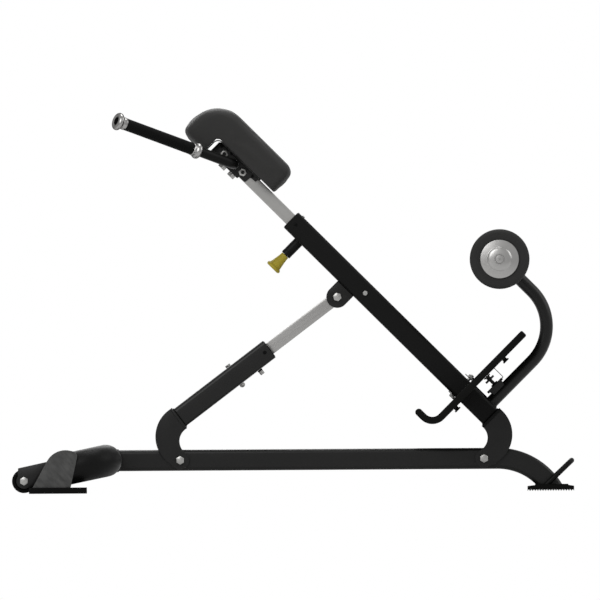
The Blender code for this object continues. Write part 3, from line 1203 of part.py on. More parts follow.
def make_handle_bar(axis, bar_x, bar_z, tube_end, finish):
    """One bent tube: its middle crosses the bracket and its ends are the splayed handles."""
    turn = pi / 2 - HANDLE_SPLAY
    tangent = HANDLE_BEND_RADIUS * sin(turn / 2) / cos(turn / 2)
    centre_y = HANDLE_CORNER_Y - tangent
    steps = arc_steps(turn)
    ends = [(-tube_end * cos(HANDLE_SPLAY), HANDLE_CORNER_Y + tube_end * sin(HANDLE_SPLAY), turn)]
    ends += [(HANDLE_BEND_RADIUS * (cos(angle) - 1), centre_y + HANDLE_BEND_RADIUS * sin(angle), angle)
             for angle in (turn * (1 - i / steps) for i in range(steps + 1))]
    path = [((x, y, 0), (sin(angle), -cos(angle), 0)) for x, y, angle in ends]
    path += [((x, -y, 0), (-sin(angle), -cos(angle), 0)) for x, y, angle in reversed(ends)]
    sections = path_sections(circle(HANDLE_RADIUS), path, (0, 0, 1))
    bar = place("handle_bar", sweep(sections, capped=False), finish, axis, location=(bar_x, 0, bar_z),
                rotation=(0, -HANDLE_TILT, 0))
    hollow(bar, HANDLE_WALL)
    return bar


def make_handles(axis, finishes):
    """The handle bar, and on each side its collar, rubber grip and flared end cap."""
    bar_x, bar_z = up_frame(HANDLE_BAR_UP, -HANDLE_BAR_DROP)
    tube_end = HANDLE_LENGTH - CAP_LENGTH * 0.4
    make_handle_bar(axis, bar_x, bar_z, tube_end, finishes["black_paint"])
    fit = HANDLE_RADIUS + SEAT_GAP
    grip_start = HANDLE_LENGTH - CAP_LENGTH - GRIP_LENGTH
    grip_end = HANDLE_LENGTH - CAP_LENGTH - SEAT_GAP
    edge = 0.002
    grip = [(fit, grip_start), (GRIP_RADIUS - edge, grip_start), (GRIP_RADIUS, grip_start + edge),
            (GRIP_RADIUS, grip_end - edge), (GRIP_RADIUS - edge, grip_end), (fit, grip_end)]
    collar_end = grip_start - SEAT_GAP
    collar_start = collar_end - COLLAR_LENGTH
    shoulder = collar_start + COLLAR_LENGTH * 0.55
    chamfer = 0.001
    collar = [(fit, collar_start), (COLLAR_NECK_RADIUS - chamfer, collar_start),
              (COLLAR_NECK_RADIUS, collar_start + chamfer), (COLLAR_NECK_RADIUS, shoulder - chamfer),
              (COLLAR_RADIUS - chamfer, shoulder), (COLLAR_RADIUS, shoulder + chamfer),
              (COLLAR_RADIUS, collar_end - chamfer), (COLLAR_RADIUS - chamfer, collar_end), (fit, collar_end)]
    cap_start = HANDLE_LENGTH - CAP_LENGTH
    socket_floor = HANDLE_LENGTH - CAP_SOCKET_DEPTH
    cap = [(0.0, tube_end + SEAT_GAP), (fit, tube_end + SEAT_GAP), (fit, cap_start),
           (CAP_NECK_RADIUS - chamfer, cap_start), (CAP_NECK_RADIUS, cap_start + chamfer),
           (CAP_NECK_RADIUS + 0.0004, cap_start + CAP_LENGTH * 0.40),
           (CAP_NECK_RADIUS + 0.0020, cap_start + CAP_LENGTH * 0.62),
           (CAP_RADIUS, cap_start + CAP_LENGTH * 0.80), (CAP_RADIUS, HANDLE_LENGTH - chamfer),
           (CAP_RADIUS - chamfer, HANDLE_LENGTH), (CAP_SOCKET_RADIUS, HANDLE_LENGTH),
           (CAP_SOCKET_RADIUS, socket_floor), (0.0, socket_floor)]
    for side, sign in sides():
        direction = Vector((-cos(HANDLE_TILT) * cos(HANDLE_SPLAY), sign * sin(HANDLE_SPLAY),
                            -sin(HANDLE_TILT) * cos(HANDLE_SPLAY)))
        holder = bpy.data.objects.new(f"handle_axis_{side}", None)
        bpy.context.scene.collection.objects.link(holder)
        holder.parent = axis
        holder.location = (bar_x, sign * HANDLE_CORNER_Y, bar_z)
        holder.rotation_euler = direction.to_track_quat('Z', 'Y').to_euler()
        place(f"handle_grip_{side}", turned(grip, closed=True), finishes["rubber"], holder)
        place(f"handle_collar_{side}", turned(collar, closed=True), finishes["satin_steel"], holder)
        place(f"handle_cap_{side}", turned(cap), finishes["satin_steel"], holder)


def make_pivot_bolts(finishes):
    """The bolts through the base tube that the main frame and the strut turn on."""
    grip = 2 * (BRACKET_OUTSIDE + SEAT_GAP)
    for name, x in (("tilt_bolt", TILT_PIVOT_X), ("strut_bolt", STRUT_PIVOT_X)):
        place(name, bolt(M12, grip), finishes["zinc"], location=(x, -grip / 2, PIVOT_HEIGHT),
              rotation=across(-1))


def main():
    """Build the bench."""
    clear_scene()
    finishes = make_materials()
    strut_angle, clevis_up = strut_geometry()
    tilt_axis = make_empty("frame_tilt_axis", (TILT_PIVOT_X, 0, PIVOT_HEIGHT), FRAME_ANGLE)
    strut_axis = make_empty("strut_axis", (STRUT_PIVOT_X, 0, PIVOT_HEIGHT), -strut_angle)

    make_base_tube(finishes["black_paint"])
    make_rear_crossbar(finishes["black_paint"])
    make_rear_feet(finishes)
    make_front_foot(finishes)
    make_lift_handle(finishes["black_paint"])
    make_pivot_bolts(finishes)

    make_main_tube(tilt_axis, finishes["black_paint"])
    make_pivot_brackets("frame", tilt_axis, -1, FRAME_FOOT, FRAME_RISE, finishes["black_paint"])
    guide = make_guide("slide_guide", tilt_axis, -1, FRAME_TOP, FRAME_RISE, SLIDE_DEPTH, SLIDE_WIDTH,
                       SLIDE_CORNER, finishes["guide_plastic"])
    pin_x = -(FRAME_TOP - PIN_DOWN)
    cut(guide, "guide_pin_bore",
        cylinder(PIN_NOSE_RADIUS + BOLT_CLEARANCE, (pin_x, 0, 0), (pin_x, 0, FRAME_RISE), PIPE_SIDES))
    make_clevis(tilt_axis, finishes)
    make_pull_pin(tilt_axis, finishes)
    make_stop_screw(tilt_axis, finishes["zinc"])
    make_roller_arm(tilt_axis, finishes["black_paint"])
    make_rollers(tilt_axis, finishes)
    make_foot_platform(tilt_axis, finishes)
    make_platform_brace(tilt_axis, finishes)

    make_strut(strut_axis, clevis_up, finishes)
    make_pivot_brackets("strut", strut_axis, 1, STRUT_FOOT, STRUT_RISE, finishes["black_paint"])

    make_pad_slide(tilt_axis, finishes["satin_steel"])
    make_pad_bracket(tilt_axis, finishes["black_paint"])
    make_back_plate(tilt_axis, finishes["black_paint"])
    make_hip_pad(tilt_axis, finishes["vinyl"])
    make_handles(tilt_axis, finishes)


main()
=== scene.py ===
"""Dressed scene of a hyperextension bench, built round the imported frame.

Each sub-assembly is a class that holds its sizes in metres and models its own pieces in a working
frame of its own: the tilted main frame, the strut, the sloping rear pipe, or the floor. A finished
piece is brought into the bench's frame, gets its finish and rides on its body.
"""

from __future__ import annotations

import json
import logging
from contextlib import contextmanager
from dataclasses import dataclass, field
from enum import Enum
from math import acos, atan2, cos, hypot, pi, radians, sin, sqrt, tan
from typing import Iterator, Mapping, Sequence

import bmesh
import bpy
from mathutils import Matrix, Vector

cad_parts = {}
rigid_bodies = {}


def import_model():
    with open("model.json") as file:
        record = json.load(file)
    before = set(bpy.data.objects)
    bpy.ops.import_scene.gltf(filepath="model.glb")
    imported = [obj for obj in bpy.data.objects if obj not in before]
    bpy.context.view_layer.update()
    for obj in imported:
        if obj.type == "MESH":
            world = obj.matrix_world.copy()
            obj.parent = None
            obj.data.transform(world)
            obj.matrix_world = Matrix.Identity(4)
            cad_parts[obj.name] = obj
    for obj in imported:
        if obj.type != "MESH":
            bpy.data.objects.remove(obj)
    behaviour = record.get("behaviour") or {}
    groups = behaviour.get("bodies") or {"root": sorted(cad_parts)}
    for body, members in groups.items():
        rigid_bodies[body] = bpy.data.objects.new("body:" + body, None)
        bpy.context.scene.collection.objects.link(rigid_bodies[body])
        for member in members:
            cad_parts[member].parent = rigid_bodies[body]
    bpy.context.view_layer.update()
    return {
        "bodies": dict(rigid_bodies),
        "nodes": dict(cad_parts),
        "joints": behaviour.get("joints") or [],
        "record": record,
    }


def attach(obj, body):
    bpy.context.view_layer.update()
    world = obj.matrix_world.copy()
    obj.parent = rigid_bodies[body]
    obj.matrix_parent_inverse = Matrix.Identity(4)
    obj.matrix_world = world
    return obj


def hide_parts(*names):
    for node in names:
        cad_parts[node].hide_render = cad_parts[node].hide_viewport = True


LOG = logging.getLogger("bench")

Point = tuple[float, float, float]
Flat = tuple[float, float]
Piece = bpy.types.Object
Socket = bpy.types.NodeSocket


class Finish(Enum):
    """The finishes of the bench. Each value starts with the record's material slot."""

    PAINT = "black_paint"
    # This finish is the same black paint made darker and less glossy: painted shade on the pieces that the
    # lamps would show too bright.
    SHADED_PAINT = "black_paint-tube"
    PLATE_PAINT = "black_paint-plate"
    SLIDE_STEEL = "satin_steel-slide"
    ROD_STEEL = "satin_steel-rod"
    TURNED_STEEL = "satin_steel-turned"
    BRIGHT_STEEL = "satin_steel-bright"
    ZINC = "zinc"
    VINYL = "vinyl"
    RUBBER = "rubber"
    GRIP = "rubber-grip"
    FOAM = "foam"
    BOOT = "boot_plastic"
    GUIDE = "guide_plastic"
    KNOB = "knob_plastic"

    @property
    def slot(self) -> str:
        """The slot in the record that this finish belongs to."""
        return self.value.split("-")[0]


class Body(Enum):
    """The moving bodies of the bench."""

    BASE = "base"
    FRAME = "main_frame"
    SLEEVE = "strut_sleeve"
    ROD = "strut_rod"
    CARRIAGE = "pad_carriage"
    PIN = "pull_pin"
    ROLLER_NEAR = "roller_near"
    ROLLER_FAR = "roller_far"
    WHEEL_NEAR = "wheel_near"
    WHEEL_FAR = "wheel_far"


class Side(Enum):
    """The two sides of the bench. The camera sees the near one."""

    NEAR = "near"
    FAR = "far"

    @property
    def sign(self) -> int:
        """Direction of this side along Y."""
        return -1 if self is Side.NEAR else 1


# Working frames


def working_frame(origin: Point, angle: float) -> Matrix:
    """Make a frame at a point, turned about Y.

    Args:
        origin: The frame's origin in the bench's frame.
        angle: The turn about Y, in radians.

    Returns:
        The matrix from the working frame to the bench's frame.
    """
    return Matrix.Translation(origin) @ Matrix.Rotation(angle, 4, 'Y')


PIVOT_HEIGHT = 0.0775
TILT_X = 0.4532
STRUT_X = -0.2673
REAR_X = -0.4437
REAR_SLOPE = radians(11.75)
TILT = working_frame((TILT_X, 0.0, PIVOT_HEIGHT), radians(45))
STRUT = working_frame((STRUT_X, 0.0, PIVOT_HEIGHT), -radians(37.1209))
REAR = working_frame((REAR_X, 0.0, PIVOT_HEIGHT), -REAR_SLOPE)
LIFT = working_frame((0.6604, 0.0, 0.0716), -radians(43.5))
FLOOR = Matrix.Identity(4)
FRAME_TOP = 0.7223
FRAME_RISE = 0.0806
SEAT = 0.0003
BOLT_HOLE = 0.0063


def up_tube(up: float, rise: float) -> Flat:
    """Give local X and Z of a point above the main tube's top end.

    Args:
        up: Distance beyond the tube's top end, along the tube.
        rise: Distance from the tube's middle line.

    Returns:
        The point's X and Z in the main frame's working frame.
    """
    return (-(FRAME_TOP + up), FRAME_RISE + rise)


def towards(direction: Point, origin: Point) -> Matrix:
    """Make a frame whose Z axis points along a direction.

    Args:
        direction: Where the Z axis points.
        origin: The frame's origin.

    Returns:
        The frame's matrix.
    """
    turn = Vector(direction).to_track_quat('Z', 'Y').to_matrix().to_4x4()
    return Matrix.Translation(origin) @ turn


def across(sign: int, place: Point) -> Matrix:
    """Make a frame whose Z axis points along Y.

    Args:
        sign: The direction along Y.
        place: The frame's origin.

    Returns:
        The frame.
    """
    return Matrix.Translation(place) @ Matrix.Rotation(-sign * pi / 2, 4, 'X')


def aside(side: Side, distance: float) -> Matrix:
    """Make a frame that is shifted from the middle of the bench towards a side."""
    return Matrix.Translation((0.0, side.sign * distance, 0.0))


def along_x(place: Point) -> Matrix:
    """Make a frame whose Z axis points along X."""
    return Matrix.Translation(place) @ Matrix.Rotation(pi / 2, 4, 'Y')


def upside_down(place: Point) -> Matrix:
    """Make a frame whose Z axis points down."""
    return Matrix.Translation(place) @ Matrix.Rotation(pi, 4, 'X')


# Modelling by operators


def put_down() -> None:
    """Leave edit mode and deselect everything."""
    if bpy.context.mode != 'OBJECT':
        bpy.ops.object.mode_set(mode='OBJECT')
    bpy.ops.object.select_all(action='DESELECT')


def take_up(piece: Piece) -> None:
    """Select one piece and nothing else."""
    put_down()
    piece.select_set(True)
    bpy.context.view_layer.objects.active = piece


@contextmanager
def editing(piece: Piece) -> Iterator[Piece]:
    """Work on a piece in edit mode, with all of it selected at the start."""
    take_up(piece)
    bpy.ops.object.mode_set(mode='EDIT')
    bpy.ops.mesh.select_all(action='SELECT')
    yield piece
    bpy.ops.object.mode_set(mode='OBJECT')


def use_modifier(piece: Piece, kind: str, **values: object) -> None:
    """Add a modifier to a piece and apply it.

    Args:
        piece: The piece to change.
        kind: Blender's name of the modifier type.
        **values: The modifier's settings.
    """
    take_up(piece)
    modifier = piece.modifiers.new(kind.lower(), kind)
    for key, value in values.items():
        setattr(modifier, key, value)
    bpy.ops.object.modifier_apply(modifier=modifier.name)


def bake_place(piece: Piece) -> None:
    """Put a piece's place into its mesh."""
    take_up(piece)
    bpy.ops.object.transform_apply(location=True, rotation=True, scale=True)


def move_to(piece: Piece, frame: Matrix) -> None:
    """Bring a piece into a frame and put its place into its mesh."""
    piece.matrix_world = frame @ piece.matrix_world
    bake_place(piece)


def outward(piece: Piece) -> None:
    """Merge doubles and turn all faces outwards."""
    with editing(piece):
        bpy.ops.mesh.remove_doubles(threshold=0.00001)
        bpy.ops.mesh.normals_make_consistent(inside=False)


def round_edges(piece: Piece, width: float, segments: int = 3, angle: float = 40) -> None:
    """Round a piece's sharp edges.

    Args:
        piece: The piece to change.
        width: The rounding's width.
        segments: How many faces make the rounding.
        angle: The least angle of an edge that is rounded, in degrees.
    """
    use_modifier(piece, 'BEVEL', width=width, segments=segments, limit_method='ANGLE',
                 angle_limit=radians(angle), use_clamp_overlap=True, miter_outer='MITER_ARC')


def give_wall(piece: Piece, thickness: float) -> None:
    """Give an open shell a wall, inwards."""
    use_modifier(piece, 'SOLIDIFY', thickness=thickness, offset=-1.0, use_even_offset=True)


def cut_below(piece: Piece, height: float, fill: bool = True) -> None:
    """Cut off what lies below a height.

    Args:
        piece: The piece to change.
        height: Z of the cut.
        fill: Whether the cut is closed with a face.
    """
    with editing(piece):
        bpy.ops.mesh.bisect(plane_co=(0.0, 0.0, height), plane_no=(0.0, 0.0, 1.0), clear_inner=True,
                            use_fill=fill)


def combine(piece: Piece, tool: Piece, operation: str = 'DIFFERENCE') -> None:
    """Cut a shape out of a piece, join one to it or keep what they share, and remove the tool.

    Args:
        piece: The piece to change.
        tool: The shape that is used up.
        operation: Blender's name of the Boolean operation.
    """
    use_modifier(piece, 'BOOLEAN', operation=operation, solver='EXACT', object=tool)
    bpy.data.objects.remove(tool)


def merge_pieces(pieces: Sequence[Piece]) -> Piece:
    """Join several meshes into the first one.

    Args:
        pieces: The meshes.

    Returns:
        The joined piece.
    """
    take_up(pieces[0])
    for piece in pieces[1:]:
        piece.select_set(True)
    bpy.ops.object.join()
    return pieces[0]


def copy_of(piece: Piece) -> Piece:
    """Copy a piece with a mesh of its own."""
    twin = piece.copy()
    twin.data = piece.data.copy()
    bpy.context.scene.collection.objects.link(twin)
    return twin


def arc(centre: Flat, radius: float, start: float, end: float, steps: int) -> list[Flat]:
    """Give points on an arc.

    Args:
        centre: The arc's centre.
        radius: Its radius.
        start: The first angle, in radians.
        end: The last angle, in radians.
        steps: How many straight steps stand for the arc.

    Returns:
        The points, both ends included.
    """
    turn = (end - start) / steps
    return [(centre[0] + radius * cos(start + turn * i), centre[1] + radius * sin(start + turn * i))
            for i in range(steps + 1)]


def rounded(corners: Sequence[tuple[float, float, float]], steps: int = 6) -> list[Flat]:
    """Round the corners of an outline.

    Args:
        corners: Points as (u, v, radius).
        steps: How many straight steps stand for one corner.

    Returns:
        The outline's points.
    """
    points: list[Flat] = []
    for i, (u, v, radius) in enumerate(corners):
        if radius <= 0.0:
            points.append((u, v))
            continue
        here = Vector((u, v))
        back = (Vector(corners[i - 1][:2]) - here).normalized()
        ahead = (Vector(corners[(i + 1) % len(corners)][:2]) - here).normalized()
        half = acos(max(-1.0, min(1.0, back.dot(ahead)))) / 2
        centre = here + (back + ahead).normalized() * (radius / sin(half))
        first = here + back * (radius / tan(half)) - centre
        last = here + ahead * (radius / tan(half)) - centre
        start = atan2(first.y, first.x)
        sweep = (atan2(last.y, last.x) - start + pi) % (2 * pi) - pi
        points += arc((centre.x, centre.y), radius, start, start + sweep, steps)
    return points


def plate(outline: Sequence[Flat], low: float, high: float) -> Piece:
    """Model a plate from its outline in XZ, with its thickness along Y.

    Args:
        outline: The outline's points.
        low: Y of one face.
        high: Y of the other face.

    Returns:
        The plate.
    """
    put_down()
    bpy.ops.mesh.primitive_circle_add(vertices=len(outline), radius=1.0, fill_type='NGON')
    piece = bpy.context.object
    with editing(piece):
        mesh = bmesh.from_edit_mesh(piece.data)
        for vertex, (u, v) in zip(mesh.verts, outline):
            vertex.co = (u, low, v)
        bmesh.update_edit_mesh(piece.data)
        bpy.ops.mesh.extrude_region_move(TRANSFORM_OT_translate={"value": (0.0, high - low, 0.0)})
    outward(piece)
    return piece


def block(along: Flat, height: Flat, half: float) -> Piece:
    """Model a square-edged block on both sides of the middle.

    Args:
        along: Its two ends along X.
        height: Its lower and upper face along Z.
        half: Half of its width along Y.

    Returns:
        The block.
    """
    (start, end), (low, high) = along, height
    return plate([(start, low), (end, low), (end, high), (start, high)], -half, half)


def slab(size: Flat, corner: float, height: float, segments: int = 6) -> Piece:
    """Model a flat block with round corners, standing on the XY plane.

    Args:
        size: Its length along X and its width along Y.
        corner: Radius of its four upright corners.
        height: Its height.
        segments: How many faces make one corner.

    Returns:
        The block.
    """
    put_down()
    bpy.ops.mesh.primitive_plane_add(size=1.0)
    piece = bpy.context.object
    with editing(piece):
        bpy.ops.transform.resize(value=(size[0], size[1], 1.0))
        bpy.ops.mesh.bevel(offset=corner, segments=segments, affect='VERTICES')
        bpy.ops.mesh.select_all(action='SELECT')
        bpy.ops.mesh.extrude_region_move(TRANSFORM_OT_translate={"value": (0.0, 0.0, height)})
    outward(piece)
    return piece


def lathe(profile: Sequence[Flat], steps: int = 48, closed: bool = False) -> Piece:
    """Turn a profile about Z: a vertex is drawn along it, and the line is spun a full turn.

    Args:
        profile: Points as (radius, height).
        steps: How many faces go round.
        closed: Whether the profile's end joins its start.

    Returns:
        The turned piece.
    """
    points = [Vector((radius, 0.0, height)) for radius, height in profile]
    if closed:
        points.append(points[0])
    put_down()
    bpy.ops.mesh.primitive_plane_add(size=0.01)
    piece = bpy.context.object
    with editing(piece):
        bpy.ops.mesh.merge(type='CENTER')
        bpy.ops.transform.translate(value=points[0])
        for before, here in zip(points, points[1:]):
            bpy.ops.mesh.extrude_region_move(TRANSFORM_OT_translate={"value": here - before})
        bpy.ops.mesh.select_all(action='SELECT')
        bpy.ops.mesh.spin(steps=steps, angle=2 * pi, center=(0, 0, 0), axis=(0, 0, 1))
    outward(piece)
    return piece


@dataclass(frozen=True)
class BoxSection:
    """The section of a rectangular tube. A wall of 0 stands for a solid bar."""

    depth: float
    width: float
    corner: float
    wall: float = 0.0


TUBE = BoxSection(0.050, 0.080, 0.010, 0.003)
END_PLATE = 0.006
END_HALF_DEPTH = 0.0301
END_HALF_WIDTH = 0.0485
SLIDE = BoxSection(0.030, 0.060, 0.0025, 0.003)
ROD = BoxSection(0.030, 0.046, 0.0012)
HANDLE_SPOT = (0.1900, -0.0017)


@dataclass(frozen=True)
class Straight:
    """A straight run of a tube."""

    by: Point


@dataclass(frozen=True)
class Bend:
    """A bend of a tube, right-handed about an axis."""

    centre: Point
    axis: Point
    angle: float
    steps: int = 14


def run_tube(piece: Piece, moves: Sequence[Straight | Bend], wall: float) -> Piece:
    """Draw a tube from its first ring, by extruding and spinning the ring.

    Args:
        piece: The ring.
        moves: The tube's straight runs and bends, in order.
        wall: Wall thickness, or 0 for a solid bar.

    Returns:
        The tube.
    """
    with editing(piece):
        for move in moves:
            if isinstance(move, Straight):
                bpy.ops.mesh.extrude_region_move(TRANSFORM_OT_translate={"value": move.by})
            else:
                bpy.ops.mesh.spin(steps=move.steps, angle=-move.angle, center=move.centre, axis=move.axis)
        bpy.ops.mesh.select_all(action='SELECT')
        if not wall:
            bpy.ops.mesh.fill_holes(sides=0)
    outward(piece)
    if wall:
        give_wall(piece, wall)
    return piece


def pipe(radius: float, start: Point, moves: Sequence[Straight | Bend], wall: float = 0.0,
         sides: int = 40) -> Piece:
    """Model a round tube that starts along X.

    Args:
        radius: Its outer radius.
        start: Where its middle line starts.
        moves: Its straight runs and bends.
        wall: Wall thickness, or 0 for a solid bar.
        sides: How many faces go round.

    Returns:
        The tube.
    """
    put_down()
    bpy.ops.mesh.primitive_circle_add(vertices=sides, radius=radius, fill_type='NOTHING', location=start,
                                      rotation=(0.0, pi / 2, 0.0))
    piece = bpy.context.object
    bake_place(piece)
    return run_tube(piece, moves, wall)


def box_tube(section: BoxSection, start: Point, moves: Sequence[Straight | Bend]) -> Piece:
    """Model a rectangular tube that starts along X.

    Args:
        section: Its section.
        start: Where its middle line starts.
        moves: Its straight runs and bends.

    Returns:
        The tube.
    """
    put_down()
    bpy.ops.mesh.primitive_plane_add(size=1.0)
    piece = bpy.context.object
    with editing(piece):
        bpy.ops.transform.resize(value=(section.depth, section.width, 1.0))
        bpy.ops.mesh.bevel(offset=section.corner, segments=6, affect='VERTICES')
        bpy.ops.mesh.delete(type='ONLY_FACE')
    piece.rotation_euler = (0.0, pi / 2, 0.0)
    piece.location = start
    bake_place(piece)
    return run_tube(piece, moves, section.wall)


def rod(radius: float, start: Point, end: Point, sides: int = 32) -> Piece:
    """Model a round bar between two points.

    Args:
        radius: Its radius.
        start: One end.
        end: The other end.
        sides: How many faces go round.

    Returns:
        The bar.
    """
    span = Vector(end) - Vector(start)
    put_down()
    bpy.ops.mesh.primitive_cylinder_add(vertices=sides, radius=radius, depth=span.length)
    piece = bpy.context.object
    move_to(piece, towards(tuple(span), tuple((Vector(start) + Vector(end)) / 2)))
    return piece


def cross_rod(radius: float, spot: Flat, half: float, sides: int = 32) -> Piece:
    """Model a round bar across the bench.

    Args:
        radius: Its radius.
        spot: Its X and Z.
        half: Half of its length.
        sides: How many faces go round.

    Returns:
        The bar.
    """
    return rod(radius, (spot[0], -half, spot[1]), (spot[0], half, spot[1]), sides)


def bead(points: Sequence[Point], radius: float = 0.0022, ripple: float = 0.16) -> Piece:
    """Model a weld bead along a closed line, with the ripples of the passes.

    Args:
        points: The line.
        radius: The bead's radius.
        ripple: How much the radius swells at each ripple, as a share.

    Returns:
        The bead.
    """
    put_down()
    bpy.ops.mesh.primitive_circle_add(vertices=len(points), radius=1.0, fill_type='NOTHING')
    piece = bpy.context.object
    for vertex, place in zip(piece.data.vertices, points):
        vertex.co = place
    bpy.ops.object.convert(target='CURVE')
    curve = bpy.context.object.data
    curve.bevel_depth = radius
    curve.bevel_resolution = 2
    for i, point in enumerate(curve.splines[0].points):
        point.radius = 1.0 + ripple * (1 if i % 2 else -1)
    bpy.ops.object.convert(target='MESH')
    piece = bpy.context.object
    outward(piece)
    return piece


def ring_points(x: float, rise: float, pitch: float = 0.0035) -> list[Point]:
    """Give evenly spaced points round one of the bench's rectangular tubes.

    Args:
        x: Where the ring lies along the tube.
        rise: Z of the tube's middle line.
        pitch: Distance between the points.

    Returns:
        The points.
    """
    half_u, half_v, corner = TUBE.depth / 2, TUBE.width / 2, TUBE.corner
    corners = [(half_u, half_v, corner), (-half_u, half_v, corner), (-half_u, -half_v, corner),
               (half_u, -half_v, corner)]
    line = [Vector((u, v)) for u, v in rounded(corners, 8)]
    points: list[Point] = []
    for here, after in zip(line, line[1:] + line[:1]):
        count = max(1, round((after - here).length / pitch))
        for i in range(count):
            spot = here.lerp(after, i / count)
            points.append((x, spot.y, rise + spot.x))
    return points


def capped_tube(foot: float, length: float, rise: float, sense: int) -> Piece:
    """Model one of the bench's rectangular tubes with the plate that closes its foot.

    Args:
        foot: Distance of the tube's foot from its pivot bolt.
        length: The tube's length.
        rise: Z of its middle line.
        sense: Which way it points along X.

    Returns:
        The tube.
    """
    start = sense * foot
    tube = box_tube(TUBE, (start, 0.0, rise), [Straight((sense * length, 0.0, 0.0))])
    ends = sorted((start, start - sense * END_PLATE))
    end = block(ends, (rise - END_HALF_DEPTH, rise + END_HALF_DEPTH), END_HALF_WIDTH)
    round_edges(end, 0.0008, 2, 60)
    return merge_pieces([tube, end])


# Materials


@dataclass
class Recipe:
    """A node tree that is being laid out."""

    tree: bpy.types.NodeTree

    def add(self, kind: str, **values: object) -> bpy.types.Node:
        """Add a node.

        Args:
            kind: Blender's node type.
            **values: As for fill.

        Returns:
            The node.
        """
        return self.fill(self.tree.nodes.new(kind), **values)

    def fill(self, node: bpy.types.Node, **values: object) -> bpy.types.Node:
        """Set up a node.

        Args:
            node: The node.
            **values: Settings of the node, or the value or the source of its inputs by name.

        Returns:
            The node.
        """
        for key, value in values.items():
            if hasattr(node, key):
                setattr(node, key, value)
            elif isinstance(value, Socket):
                self.join(value, node.inputs[key.replace("_", " ")])
            else:
                node.inputs[key.replace("_", " ")].default_value = value
        return node

    def join(self, source: Socket, target: Socket) -> None:
        """Link two sockets."""
        self.tree.links.new(source, target)

    def math(self, operation: str, *values: Socket | float) -> Socket:
        """Add a Math node.

        Args:
            operation: Blender's name of the operation.
            *values: A socket or a number for each input.

        Returns:
            The node's result.
        """
        node = self.add('ShaderNodeMath', operation=operation)
        for value, target in zip(values, node.inputs):
            if isinstance(value, float):
                target.default_value = value
            else:
                self.join(value, target)
        return node.outputs[0]


@dataclass(frozen=True)
class GrainGroup:
    """Shared shader group: fine grain and slow mottling, for relief, tone and roughness."""

    name: str = "surface_grain"

    def build(self) -> bpy.types.NodeTree:
        """Lay out the group.

        Returns:
            The group's node tree.
        """
        tree = bpy.data.node_groups.new(self.name, 'ShaderNodeTree')
        sockets = tree.interface
        sockets.new_socket("Vector", in_out='INPUT', socket_type='NodeSocketVector')
        for name, value in (("Grain Scale", 900.0), ("Mottle Scale", 14.0), ("Spread", 0.1)):
            sockets.new_socket(name, in_out='INPUT', socket_type='NodeSocketFloat').default_value = value
        for name in ("Height", "Tone", "Gloss"):
            sockets.new_socket(name, in_out='OUTPUT', socket_type='NodeSocketFloat')
        recipe = Recipe(tree)
        given = recipe.add('NodeGroupInput').outputs
        grain = recipe.add('ShaderNodeTexNoise', Vector=given["Vector"], Scale=given["Grain Scale"],
                           Detail=3.0, Roughness=0.6).outputs["Fac"]
        mottle = recipe.add('ShaderNodeTexNoise', Vector=given["Vector"], Scale=given["Mottle Scale"],
                            Detail=5.0, Roughness=0.55).outputs["Fac"]
        tone = recipe.add('ShaderNodeMapRange', Value=mottle, From_Min=0.3, From_Max=0.7,
                          To_Min=recipe.math('SUBTRACT', 1.0, given["Spread"]),
                          To_Max=recipe.math('ADD', 1.0, given["Spread"])).outputs["Result"]
        gloss = recipe.math('ADD', recipe.math('MULTIPLY', grain, 0.25), mottle)
        recipe.add('NodeGroupOutput', Height=grain, Tone=tone, Gloss=gloss)
        return tree


